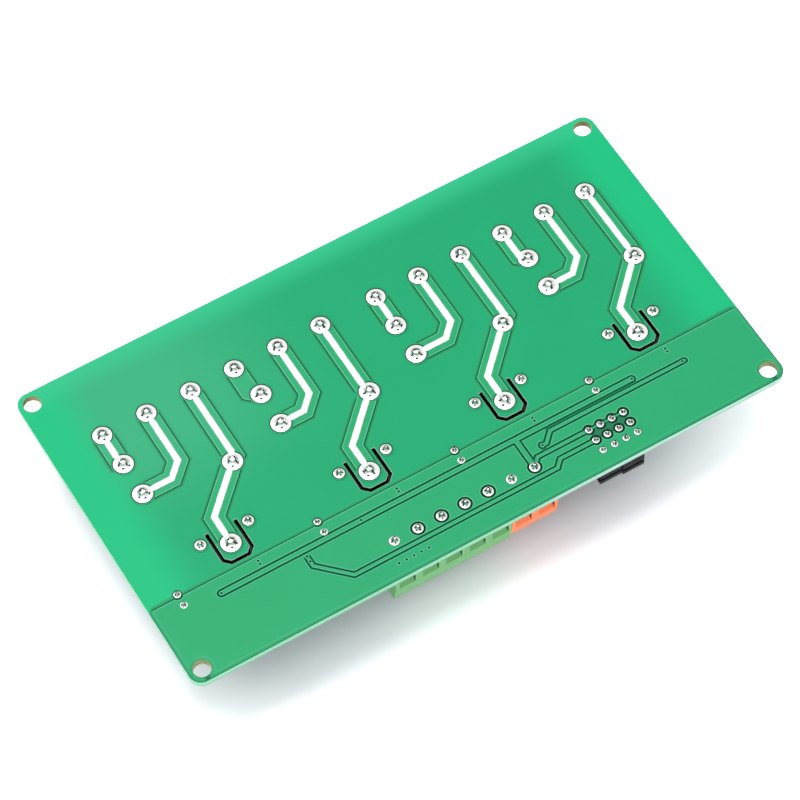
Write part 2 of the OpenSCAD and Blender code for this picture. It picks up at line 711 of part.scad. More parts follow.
// Wire entry, cage shaft, screw well and pin slot of one way.
module way_cavity(h) {
    front = -housing_front;
    hole_w = entry_w - 2 * entry_lip;
    sunk_z = entry_floor_h - entry_flare[0];
    translate([0, cage_shift, cage_floor_h]) {
        centred_box(cage_w + 2 * cage_fit, cage_d + 2 * cage_fit, -cage_fit, cage_h + cage_fit);
        cylinder(d = screw_well_d, h = h);
    }
    translate([-hole_w / 2, front - past, entry_floor_h]) cube([hole_w, past - front, entry_h]);
    translate([-entry_w / 2, 0, 0]) rotate([90, 0, 90]) linear_extrude(entry_w)
        polygon([[front - past, sunk_z], [front + entry_sink, sunk_z],
            [front + entry_sink, entry_floor_h + entry_h + entry_flare[1]],
            [front, entry_top_h], [front - past, entry_top_h]]);
    lead(loose(input_lead), -past, cage_floor_h + past);
}

// A square tube open to the wire, with a slot for the pin below and a hole for the screw above.
module wire_cages() {
    color("silver") on_component_side() at_spots(input_spots) difference() {
        translate([0, cage_shift, cage_floor_h]) difference() {
            centred_box(cage_w, cage_d, 0, cage_h);
            centred_box(cage_w - 2 * cage_wall, cage_d + past, cage_wall, cage_h - 2 * cage_wall);
            translate([0, 0, cage_h / 2]) cylinder(d = cage_screw_d + 2 * bore_fit, h = cage_h);
        }
        lead(loose(input_lead), 0, cage_floor_h + cage_wall + plate_gap);
    }
}

module cage_screws() {
    color("silver") on_component_side() at_spots(input_spots)
        translate([0, cage_shift, cage_floor_h + cage_h + cage_screw_gap])
            cross_screw(cage_head_d, cage_head_h, cage_screw_d, cage_shank_l, cage_cross_w);
}

module input_pins() {
    head = cage_floor_h + cage_wall;
    color("silver") at_spots(input_spots) {
        lead(input_lead, -board_t - head - pin_plate[2] / 2, joint_h + lead_tip);
        on_component_side() centred_box(pin_plate[0], pin_plate[1], head, head + pin_plate[2]);
    }
}

// ---------- header and jumpers ----------

module header_base() {
    middle = (header_at(0, 0) + header_at(header_cols - 1, header_rows - 1)) / 2;
    color([0.09, 0.09, 0.1]) on_component_side() difference() {
        translate(middle)
            centred_box(header_cols * header_pitch, header_rows * header_pitch, 0, header_base_h);
        at_spots(header_spots) lead(loose(header_lead), -past, header_base_h + past);
    }
}

module header_pins() {
    color("gold") at_spots(header_spots) lead(header_lead, -board_t - header_pin_h, small_joint_h + lead_tip);
}

function cap_middle(c) = (header_at(c, 1) + header_at(c, 2)) / 2;
clip_top = header_pin_h + fit + clip_t;
clip_l = header_pitch + header_lead[1];

// A cap over the pins of the second and third rows, with a grip groove near its top.
module jumper_cap(c) {
    base = header_base_h + cap_seats[c];
    top = clip_top + cap_gap + cap_roof + cap_seats[c];
    groove_z = top - cap_groove_drop;
    color([0.08, 0.08, 0.09]) on_component_side() translate(cap_middle(c)) difference() {
        centred_box(cap_w, cap_l, base, top);
        centred_box(header_lead[0] + 2 * (fit + clip_t) + cap_gap, clip_l + 2 * clip_end_gap, 0,
            top - cap_roof);
        difference() {
            centred_box(cap_w + past, cap_l + past, groove_z, groove_z + cap_groove_w);
            centred_box(cap_w - 2 * cap_groove, cap_l - 2 * cap_groove, 0, top);
        }
    }
}

// A folded spring clip in each cap: two leaves and a bridge over the pins.
module jumper_clips() {
    leaf_x = header_lead[0] / 2 + fit;
    color("gold") on_component_side() for (c = [0:header_cols - 1]) translate(cap_middle(c)) {
        for (side = [0, 1]) mirror([side, 0, 0]) translate([leaf_x, -clip_l / 2, clip_top - clip_h])
            cube([clip_t, clip_l, clip_h]);
        centred_box(2 * leaf_x + clip_t, clip_l, clip_top - clip_t, clip_top);
    }
}

// ---------- small parts ----------

module led(k) {
    r = led_d / 2;
    color([0.75, 0.1, 0.08]) on_component_side() translate([led_x(k), led_y, led_stand]) difference() {
        union() {
            cylinder(d = led_d + 2 * led_rim_w, h = led_rim_h);
            cylinder(d = led_d, h = led_h - r);
            translate([0, 0, led_h - r]) sphere(r);
        }
        for (i = [0:1]) translate([0, (0.5 - i) * led_lead_pitch, 0])
            lead(loose(led_lead), -past, led_seat);
    }
}

module led_leads() {
    color("silver") at_spots(led_spots)
        lead(led_lead, -board_t - led_stand - led_seat, small_joint_h + lead_tip);
}

// A gull-wing leg reaching out along +X from a body's side at x0.
module gull_leg(x0, leg) {
    end = x0 + leg[0];
    knee = x0 + leg[0] / 2;
    w = leg[1];
    top = leg[2];
    translate([0, w / 2, 0]) rotate([90, 0, 0]) linear_extrude(w) polygon([[x0, top - leg_t], [x0, top],
        [knee, top], [knee, leg_t], [end, leg_t], [end, 0], [knee - leg_t, 0], [knee - leg_t, top - leg_t]]);
}

module optocoupler(k) {
    color([0.12, 0.12, 0.13]) on_component_side() translate([relay_x(k) + optocoupler_dx, driver_y, 0])
        chamfered_block(opto_w, opto_d, body_stand, opto_h, opto_chamfer);
}

module optocoupler_legs() {
    color("silver") on_component_side() for (k = [0:last])
        translate([relay_x(k) + optocoupler_dx, driver_y, 0])
            for (side = [0, 1]) mirror([side, 0, 0]) for (y = [-opto_leg_y, opto_leg_y])
                translate([0, y, 0]) gull_leg(opto_w / 2, opto_leg);
}

module transistors() {
    color([0.1, 0.1, 0.11]) on_component_side() for (k = [0:last])
        translate([relay_x(k) + transistor_dx, driver_y, 0])
            chamfered_block(sot_w, sot_d, body_stand, sot_h, sot_chamfer);
}

module transistor_legs() {
    color("silver") on_component_side() for (k = [0:last])
        translate([relay_x(k) + transistor_dx, driver_y, 0]) {
            for (y = [-sot_leg_y, sot_leg_y]) translate([0, y, 0]) gull_leg(sot_w / 2, sot_leg);
            mirror([1, 0, 0]) gull_leg(sot_w / 2, sot_leg);
        }
}

module diodes() {
    color([0.11, 0.11, 0.12]) on_component_side() for (k = [0:last])
        translate([relay_x(k) + diode_dx, driver_y, 0])
            chamfered_block(diode_w, diode_d, tab_t, diode_h, tab_t);
}

module diode_tabs() {
    side_x = diode_w / 2;
    color("silver") on_component_side() for (k = [0:last])
        translate([relay_x(k) + diode_dx, driver_y, 0]) for (side = [0, 1]) mirror([side, 0, 0])
            translate([0, tab_w / 2, 0]) rotate([90, 0, 0]) linear_extrude(tab_w)
                polygon([[side_x - tab_inset, 0], [side_x + tab_t, 0], [side_x + tab_t, tab_h],
                    [side_x, tab_h], [side_x, tab_t], [side_x - tab_inset, tab_t]]);
}

module resistors() {
    color([0.1, 0.1, 0.1]) on_component_side() for (k = [0:last]) for (dx = resistor_dx)
        translate([relay_x(k) + dx, driver_y, 0])
            centred_box(resistor_w, resistor_l - 2 * resistor_end, resistor_stand, resistor_h);
}

module resistor_ends() {
    color("silver") on_component_side() for (k = [0:last]) for (dx = resistor_dx)
        translate([relay_x(k) + dx, driver_y, 0]) for (side = [0, 1]) mirror([0, side, 0])
            translate([0, (resistor_l - resistor_end) / 2, 0])
                centred_box(resistor_w, resistor_end, 0, resistor_h + cap_over);
}

board();
ground_plane();
power_tracks();
signal_tracks();
tinned_strips();
output_joints();
contact_joints();
coil_joints();
led_joints();
input_joints();
header_joints();
relay(0);  // relay_1
relay(1);  // relay_2
relay(2);  // relay_3
relay(3);  // relay_4
relay_pins(0);  // relay_pins_1
relay_pins(1);  // relay_pins_2
relay_pins(2);  // relay_pins_3
relay_pins(3);  // relay_pins_4
output_strip(0);  // output_strip_1
output_strip(1);  // output_strip_2
contact_plates();
clamping_washers();
output_screws();
terminal_block(first_way[0], way_counts[0], housing_h, green);  // input_block_1
terminal_block(first_way[1], way_counts[1], housing_h, green);  // input_block_2
terminal_block(first_way[2], way_counts[2], housing_h - supply_drop, orange);  // supply_block
wire_cages();
cage_screws();
input_pins();
header_base();
header_pins();
jumper_cap(0);  // jumper_cap_1
jumper_cap(1);  // jumper_cap_2
jumper_cap(2);  // jumper_cap_3
jumper_cap(3);  // jumper_cap_4
jumper_clips();
led(0);  // led_1
led(1);  // led_2
led(2);  // led_3
led(3);  // led_4
led_leads();
optocoupler(0);  // optocoupler_1
optocoupler(1);  // optocoupler_2
optocoupler(2);  // optocoupler_3
optocoupler(3);  // optocoupler_4
optocoupler_legs();
transistors();
transistor_legs();
diodes();
diode_tabs();
resistors();
resistor_ends();
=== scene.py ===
"""Looks of a four-channel relay module board that lies with its solder side up on its relays.

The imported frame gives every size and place. Each class builds and dresses one sub-assembly, and the
Studio class makes the floor, the lamps, the world and the camera. Lengths are in metres.
"""

import logging
import math
from collections.abc import Callable, Iterable, Sequence
from dataclasses import dataclass, replace
from enum import Enum, IntEnum

import bmesh
import bpy
from mathutils import Matrix, Vector, geometry, kdtree, noise


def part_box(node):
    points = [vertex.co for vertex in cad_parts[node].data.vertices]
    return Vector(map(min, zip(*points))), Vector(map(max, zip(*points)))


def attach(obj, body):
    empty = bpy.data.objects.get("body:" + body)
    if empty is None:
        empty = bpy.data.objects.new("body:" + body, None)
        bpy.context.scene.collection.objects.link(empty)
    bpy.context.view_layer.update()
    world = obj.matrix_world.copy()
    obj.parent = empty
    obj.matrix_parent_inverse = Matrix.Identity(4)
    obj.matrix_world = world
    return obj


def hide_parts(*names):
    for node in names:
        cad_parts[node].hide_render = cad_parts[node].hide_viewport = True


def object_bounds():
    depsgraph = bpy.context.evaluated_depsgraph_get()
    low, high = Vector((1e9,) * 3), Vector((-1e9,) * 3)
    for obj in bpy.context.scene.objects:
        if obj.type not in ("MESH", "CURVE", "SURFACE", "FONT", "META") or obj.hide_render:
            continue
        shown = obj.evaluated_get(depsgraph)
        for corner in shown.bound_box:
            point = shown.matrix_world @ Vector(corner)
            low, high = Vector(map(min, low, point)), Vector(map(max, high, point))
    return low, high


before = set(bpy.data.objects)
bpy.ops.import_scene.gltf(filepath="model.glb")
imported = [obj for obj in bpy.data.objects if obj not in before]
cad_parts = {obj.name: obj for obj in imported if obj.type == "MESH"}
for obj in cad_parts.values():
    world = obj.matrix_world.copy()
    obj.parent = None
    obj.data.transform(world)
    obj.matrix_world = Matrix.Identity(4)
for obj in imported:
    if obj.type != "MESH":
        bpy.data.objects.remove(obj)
CAD_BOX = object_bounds()
LOG = logging.getLogger("relay_board")
MM = 0.001
BODY = "root"
EDGE_LAYER = "edge"
LEVEL = 0.01 * MM
MERGE = 0.002 * MM
FLAT_ANGLE = math.radians(0.6)
SHARP_ANGLE = math.radians(24)
SHORTER = 0.75
UNTANGLE_ROUNDS = 24
UNTANGLE_REACH = 1.2 * MM
FEET_APART = 0.015 * MM

Colour = tuple[float, float, float]
Route = list[Vector]
Socket = bpy.types.NodeSocket
Outputs = bpy.types.bpy_prop_collection
Mesh = bmesh.types.BMesh
Vert = bmesh.types.BMVert


# ---------- node trees ----------


class Wiring:
    """Adds nodes to one tree and joins them."""

    def __init__(self, tree: bpy.types.NodeTree) -> None:
        """Keeps the tree."""
        self.tree = tree

    def feed(self, socket: Socket, value: object) -> None:
        """Joins an output to an input, or writes a plain value into it.

        Args:
            socket: the input.
            value: an output or a plain value. A colour may leave out its fourth number.
        """
        if isinstance(value, Socket):
            self.tree.links.new(value, socket)
        elif socket.type == "RGBA" and len(value) == 3:
            socket.default_value = (*value, 1.0)
        else:
            socket.default_value = value

    def add(self, kind: str, values: dict | None = None, **settings: object) -> Outputs:
        """Adds one node.

        Args:
            kind: the node's type name.
            values: a value or an output for each input, by name or number.
            settings: the node's own properties.

        Returns:
            The new node's outputs.
        """
        node = self.tree.nodes.new(kind)
        for name, value in settings.items():
            setattr(node, name, value)
        for key, value in (values or {}).items():
            self.feed(node.inputs[key], value)
        return node.outputs

    def blend(self, share: object, first: object, second: object, way: str = "MIX") -> Socket:
        """Mixes two colours, with a share of the second from 0 to 1."""
        values = {0: share, 6: first, 7: second}
        return self.add("ShaderNodeMix", values, data_type="RGBA", blend_type=way)[2]

    def math(self, operation: str, first: object, second: object = 0.0) -> Socket:
        """Does one sum with numbers or outputs."""
        return self.add("ShaderNodeMath", {0: first, 1: second}, operation=operation)[0]

    def cloud(self, place: object, scale: object, detail: float) -> Outputs:
        """Adds a noise pattern and gives its outputs."""
        return self.add("ShaderNodeTexNoise", {"Vector": place, "Scale": scale, "Detail": detail})

    def ramp(
        self, value: object, low: float, high: float, start: float = 0.0, end: float = 1.0
    ) -> Socket:
        """Maps a value smoothly from one range to another.

        Args:
            value: a number or an output.
            low: the value that gives the start.
            high: the value that gives the end.
            start: the result at and below low.
            end: the result at and above high.

        Returns:
            The result.
        """
        values = {"Value": value, "From Min": low, "From Max": high, "To Min": start, "To Max": end}
        return self.add("ShaderNodeMapRange", values, interpolation_type="SMOOTHSTEP")[0]


def new_tree(name: str, kind: str, inputs: dict[str, str], outputs: dict[str, str]) -> Wiring:
    """Makes an empty node group with named inputs and outputs.

    Args:
        name: the group's name.
        kind: the tree's type name.
        inputs: the type of each input, by name.
        outputs: the type of each output, by name.

    Returns:
        The group's wiring.
    """
    tree = bpy.data.node_groups.new(name, kind)
    for way, sockets in (("INPUT", inputs), ("OUTPUT", outputs)):
        for label, sort in sockets.items():
            tree.interface.new_socket(label, in_out=way, socket_type=f"NodeSocket{sort}")
    return Wiring(tree)


class Effects:
    """The shader groups that several finishes share."""

    def __init__(self) -> None:
        """Builds each group once."""
        self.grain = self._grain()
        self.drift = self._drift()

    @staticmethod
    def _grain() -> bpy.types.NodeTree:
        """Builds fine moulded or cast grain.

        Returns:
            A group that puts out a height and a tone, which change over the surface.
        """
        inputs = {"Position": "Vector", "Frequency": "Float"}
        outputs = {"Height": "Float", "Tone": "Float"}
        wiring = new_tree("surface_grain", "ShaderNodeTree", inputs, outputs)
        given = wiring.add("NodeGroupInput")
        fine = wiring.cloud(given["Position"], given["Frequency"], 3.0)["Fac"]
        third = wiring.math("MULTIPLY", given["Frequency"], 0.3)
        broad = wiring.cloud(given["Position"], third, 2.0)["Fac"]
        wiring.add("NodeGroupOutput", {"Height": wiring.math("ADD", fine, broad), "Tone": broad})
        return wiring.tree

    @staticmethod
    def _drift() -> bpy.types.NodeTree:
        """Builds a slow change of brightness.

        Returns:
            A group that puts out the changed colour.
        """
        inputs = {"Colour": "Color", "Position": "Vector", "Frequency": "Float", "Amount": "Float"}
        wiring = new_tree("tone_drift", "ShaderNodeTree", inputs, {"Colour": "Color"})
        given = wiring.add("NodeGroupInput")
        cloud = wiring.cloud(given["Position"], given["Frequency"], 4.0)["Fac"]
        swing = wiring.math("MULTIPLY", wiring.math("SUBTRACT", cloud, 0.5), given["Amount"])
        values = {"Value": wiring.math("ADD", swing, 1.0), "Color": given["Colour"]}
        wiring.add("NodeGroupOutput", {"Colour": wiring.add("ShaderNodeHueSaturation", values)["Color"]})
        return wiring.tree


class Surface:
    """One material under construction, with its shader and its object coordinates."""

    def __init__(self, name: str, effects: Effects) -> None:
        """Starts a material.

        Args:
            name: the material's name.
            effects: the shared groups.
        """
        self.material = bpy.data.materials.new(name)
        self.material.use_nodes = True
        self.effects = effects
        self.wiring = Wiring(self.material.node_tree)
        self.shader = self.material.node_tree.nodes["Principled BSDF"]
        self.position = self.wiring.add("ShaderNodeTexCoord")["Object"]

    def set(self, **values: object) -> None:
        """Sets or joins the shader's inputs, named with underscores for spaces."""
        for key, value in values.items():
            self.wiring.feed(self.shader.inputs[key.replace("_", " ")], value)

    def axis(self, name: str) -> Socket:
        """Gives the place along X, Y or Z."""
        return self.wiring.add("ShaderNodeSeparateXYZ", {0: self.position})[name]

    def edge(self) -> Socket:
        """Reads the layer that says where painted highlights and shade go where a mask bends, and where
        painted dark reflections go where solder is creased.
        """
        return self.wiring.add("ShaderNodeAttribute", attribute_name=EDGE_LAYER)["Fac"]

    def drift(self, colour: object, frequency: float, amount: float) -> Socket:
        """Changes a colour's brightness by some amount, with so many clouds in a metre."""
        values = {"Colour": colour, "Position": self.position, "Frequency": frequency, "Amount": amount}
        return self.wiring.add("ShaderNodeGroup", values, node_tree=self.effects.drift)["Colour"]

    def bump(self, height: Socket, depth: float) -> None:
        """Gives the surface a relief of some depth."""
        values = {"Height": height, "Distance": depth, "Strength": 1.0}
        self.set(Normal=self.wiring.add("ShaderNodeBump", values)["Normal"])

    def grain(self, frequency: float, depth: float = 0.0) -> Socket:
        """Places the shared grain, as a relief where it has a depth.

        Args:
            frequency: how many grains there are in a metre.
            depth: the depth of the relief.

        Returns:
            The tone of the grain.
        """
        values = {"Position": self.position, "Frequency": frequency}
        made = self.wiring.add("ShaderNodeGroup", values, node_tree=self.effects.grain)
        if depth:
            self.bump(made["Height"], depth)
        return made["Tone"]


# ---------- finishes ----------


@dataclass(frozen=True)
class Look:
    """A finish, with its material's name."""

    name: str

    def build(self, effects: Effects) -> bpy.types.Material:
        """Makes the material.

        Args:
            effects: the shared groups.

        Returns:
            The material.
        """
        surface = Surface(self.name, effects)
        self.paint(surface)
        return surface.material

    def paint(self, surface: Surface) -> None:
        """Sets up the material, which each kind of finish does in its own way."""
        raise NotImplementedError


@dataclass(frozen=True)
class Moulded(Look):
    """A moulded plastic."""

    colour: Colour
    roughness: float
    depth: float = 0.012 * MM
    frequency: float = 2600.0
    drift: float = 0.12
    drift_frequency: float = 180.0
    shine: float = 0.3
    # painted light: how strongly pale plastic glows, standing for light that passes through it
    glow: float = 0.0
    cast_share: float = 0.25

    def paint(self, surface: Surface) -> None:
        """Paints fine grain, a slow change of tone and, for pale plastic, a painted glow that stands for
        light passing through it.

        Args:
            surface: the material.
        """
        wiring = surface.wiring
        tone = surface.grain(self.frequency, self.depth)
        surface.set(
            Base_Color=surface.drift(self.colour, self.drift_frequency, self.drift),
            Roughness=wiring.ramp(tone, 0.3, 0.7, self.roughness - 0.05, self.roughness + 0.07),
            Specular_IOR_Level=self.shine,
        )
        # painted light: the glow shows fully to the camera and only in part to other rays
        if self.glow:
            seen = wiring.add("ShaderNodeLightPath")["Is Camera Ray"]
            glow = wiring.math("MULTIPLY", wiring.ramp(seen, 0.0, 1.0, self.cast_share), self.glow)
            surface.set(Emission_Color=self.colour, Emission_Strength=glow)


@dataclass(frozen=True)
class Metal(Look):
    """A bare or plated metal, which may change to tin at the solder side."""

    colour: Colour
    roughness: float
    depth: float = 0.006 * MM
    frequency: float = 900.0
    stain: float = 0.15
    stain_frequency: float = 500.0
    duller: float = 0.14
    tin: Colour | None = None
    tin_z: tuple[float, float] = (-1.9 * MM, -1.5 * MM)

    def paint(self, surface: Surface) -> None:
        """Paints faint dull patches and a softly uneven surface.

        Args:
            surface: the material.
        """
        wiring = surface.wiring
        colour = surface.drift(self.colour, self.stain_frequency, self.stain)
        if self.tin:
            colour = wiring.blend(wiring.ramp(surface.axis("Z"), *self.tin_z), colour, self.tin)
        tone = surface.grain(self.frequency, self.depth)
        duller = self.roughness + self.duller
        surface.set(
            Base_Color=colour,
            Metallic=1.0,
            Roughness=wiring.ramp(tone, 0.35, 0.7, self.roughness - 0.06, duller),
        )


@dataclass(frozen=True)
class SolderMask(Look):
    """Green solder mask, over laminate or over copper."""

    colour: Colour
    over_copper: bool
    roughness: float = 0.34
    coat: float = 0.4
    body_shine: float = 0.02
    frequency: float = 420.0
    depth: float = 0.010 * MM
    # painted light: the mask's colours towards the board's ends and its far edge, where light would come
    # through the laminate
    glow: Colour = (0.008, 0.580, 0.235)
    glow_insets: tuple[float, float] = (14.5 * MM, 4.0 * MM)
    far_glow: Colour = (0.035, 0.620, 0.290)
    far_width: float = 6.5 * MM
    far_share: float = 0.85
    # painted sheen: a paler mask towards the left and the far side, standing for a broad reflection of a lamp
    painted_sheen: Colour = (0.052, 0.490, 0.240)
    painted_sheen_x: tuple[float, float] = (-4 * MM, -40 * MM)
    painted_sheen_y: tuple[float, float] = (-8 * MM, 16 * MM)
    painted_sheen_share: float = 0.8
    # painted shade: the laminate's colour over the ground area, under the driver parts
    covered_shade: Colour = (0.014, 0.215, 0.098)
    # painted highlight on the copper's shoulders, a dark line beside them that is partly mask pooled thicker
    # and partly painted shade, and deeper painted shade
    lit_edge: Colour = (0.120, 0.560, 0.310)
    dark_edge: Colour = (0.004, 0.112, 0.044)
    deep_shade: Colour = (0.001, 0.020, 0.010)

    def paint(self, surface: Surface) -> None:
        """Paints the mask, with painted light where light comes through bare laminate, a painted sheen, and
        painted highlights and shade along the copper.

        Args:
            surface: the material.
        """
        wiring = surface.wiring
        colour = surface.drift(self.colour, 70.0, 0.10)
        # painted sheen towards the left and the far side
        left = wiring.ramp(surface.axis("X"), *self.painted_sheen_x)
        far = wiring.ramp(surface.axis("Y"), *self.painted_sheen_y)
        painted_sheen = wiring.math("MULTIPLY", wiring.math("MULTIPLY", left, far), self.painted_sheen_share)
        colour = wiring.blend(painted_sheen, colour, self.painted_sheen)
        if not self.over_copper:
            colour = self._light_through(surface, colour)
        # the edge layer paints the highlight where it is above 0 and the shade where it is below 0
        edge = surface.edge()
        depth = wiring.math("MULTIPLY", edge, -1.0)
        colour = wiring.blend(wiring.ramp(edge, 0.0, 1.0), colour, self.lit_edge)
        colour = wiring.blend(wiring.ramp(depth, 0.0, 1.0), colour, self.dark_edge)
        colour = wiring.blend(wiring.ramp(depth, 1.0, 2.0), colour, self.deep_shade)
        tone = surface.grain(self.frequency, self.depth)
        surface.set(
            Base_Color=colour,
            Roughness=wiring.ramp(tone, 0.3, 0.7, self.roughness - 0.04, self.roughness + 0.08),
            Specular_IOR_Level=self.body_shine,
            Coat_Weight=wiring.ramp(depth, 0.0, 1.2, self.coat, 0.0),
            Coat_Roughness=self.roughness,
        )

    def _light_through(self, surface: Surface, colour: Socket) -> Socket:
        """Paints light where it would come through the laminate, which nothing covers from below, and paints
        shade on it under the driver parts.

        Args:
            surface: the material.
            colour: the colour so far.

        Returns:
            The changed colour.
        """
        wiring = surface.wiring
        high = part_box("board")[1]
        ground_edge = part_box("ground_plane")[1].y
        aside = wiring.math("ABSOLUTE", surface.axis("X"))
        # painted light towards the board's ends and its far edge
        reach = wiring.ramp(aside, *(high.x - inset for inset in self.glow_insets))
        colour = wiring.blend(reach, colour, self.glow)
        along = surface.axis("Y")
        rim = wiring.math("MULTIPLY", wiring.ramp(along, high.y - self.far_width, high.y), self.far_share)
        colour = wiring.blend(rim, colour, self.far_glow)
        # painted shade over the ground area
        under = wiring.ramp(along, ground_edge + 2 * LEVEL, ground_edge - 2 * LEVEL)
        return wiring.blend(under, colour, self.covered_shade)


@dataclass(frozen=True)
class Solder(Look):
    """Bright solder, with painted dark reflections where it climbs the leads."""

    colour: Colour
    roughness: float
    depth: float = 0.015 * MM
    # painted reflection: the dark colour that stands for dark surroundings mirrored in the steep solder
    dark_reflection: Colour = (0.020, 0.018, 0.022)
    dark_reflection_frequency: float = 2600.0
    dark_reflection_swing: float = 2.0
    dark_reflection_limits: tuple[float, float] = (0.42, 0.66)

    def paint(self, surface: Surface) -> None:
        """Paints the solder.

        Args:
            surface: the material.
        """
        wiring = surface.wiring
        # painted dark reflections, laid out by the edge layer and broken up by noise
        blots = wiring.cloud(surface.position, self.dark_reflection_frequency, 2.0)["Fac"]
        swing = wiring.math("MULTIPLY", wiring.math("SUBTRACT", blots, 0.5), self.dark_reflection_swing)
        dark_reflection = wiring.ramp(wiring.math("ADD", surface.edge(), swing), *self.dark_reflection_limits)
        tone = surface.grain(900.0, self.depth)
        tone = wiring.ramp(tone, 0.35, 0.7, self.roughness - 0.05, self.roughness + 0.10)
        surface.set(
            Base_Color=wiring.blend(dark_reflection, surface.drift(self.colour, 500.0, 0.10), self.dark_reflection),
            Metallic=wiring.math("SUBTRACT", 1.0, wiring.math("MULTIPLY", dark_reflection, 0.7)),
            Roughness=wiring.math("ADD", tone, wiring.math("MULTIPLY", dark_reflection, 0.25)),
        )


@dataclass(frozen=True)
class LaminateEdge(Look):
    """The bare cut edge of the glass-fibre laminate."""

    colour: Colour
    strand: Colour
    upper: Colour
    # the lower colour is painted shade towards the bottom of the edge; the glow is painted light
    lower: Colour
    glow: float = 0.0
    # painted shade: the left part of the edge is darker
    left_shade: Colour = (1.0, 1.0, 1.0)
    left_shade_x: tuple[float, float] = (16 * MM, 2 * MM)
    upper_z: tuple[float, float] = (-0.70 * MM, -0.02 * MM)
    lower_shade_z: tuple[float, float] = (-0.85 * MM, -1.45 * MM)
    strands_per_metre: tuple[float, float, float] = (700.0, 700.0, 5200.0)
    depth: float = 0.02 * MM

    def paint(self, surface: Surface) -> None:
        """Paints thin layers of glass cloth, tinted by the mask at the top, with painted shade towards the
        bottom and at the left, and painted light as a glow.

        Args:
            surface: the material.
        """
        wiring = surface.wiring
        values = {"Vector": surface.position, "Scale": self.strands_per_metre}
        strands = wiring.cloud(wiring.add("ShaderNodeMapping", values)[0], 1.0, 2.0)["Fac"]
        colour = wiring.blend(wiring.ramp(strands, 0.42, 0.62), self.colour, self.strand)
        colour = wiring.blend(wiring.ramp(surface.axis("Z"), *self.upper_z), colour, self.upper)
        colour = wiring.blend(wiring.ramp(surface.axis("Z"), *self.lower_shade_z), colour, self.lower)
        tinted = wiring.ramp(surface.axis("X"), *self.left_shade_x)
        colour = wiring.blend(tinted, colour, self.left_shade, "MULTIPLY")
        surface.set(
            Base_Color=colour, Emission_Color=colour, Emission_Strength=self.glow, Roughness=0.62
        )
        surface.bump(strands, self.depth)


@dataclass(frozen=True)
class SlotWall(Look):
    """The wall of a milled slot or a narrow hole, dark inside as painted shade and with another colour along
    its rim.
    """

    colour: Colour
    rim: Colour
    rim_z: tuple[float, float] = (-0.16 * MM, -0.07 * MM)
    depth: float = 0.02 * MM

    def paint(self, surface: Surface) -> None:
        """Paints the wall from its height: painted shade below the rim, and the rim's colour, which for the
        slots is a pale painted highlight.

        Args:
            surface: the material.
        """
        wiring = surface.wiring
        at_rim = wiring.ramp(surface.axis("Z"), *self.rim_z)
        surface.set(
            Base_Color=wiring.blend(at_rim, self.colour, surface.drift(self.rim, 900.0, 0.5)),
            Roughness=wiring.ramp(surface.grain(2400.0, self.depth), 0.3, 0.7, 0.72, 0.86),
            Specular_IOR_Level=0.1,
        )


@dataclass(frozen=True)
class Lens(Look):
    """The tinted clear epoxy of an indicator."""

    colour: Colour

    def paint(self, surface: Surface) -> None:
        """Paints the lens, which is clear enough to show depth.

        Args:
            surface: the material.
        """
        surface.set(
            Base_Color=surface.drift(self.colour, 300.0, 0.2),
            Roughness=surface.wiring.ramp(surface.grain(900.0), 0.3, 0.7, 0.08, 0.14),
            IOR=1.55,
            Transmission_Weight=0.35,
        )


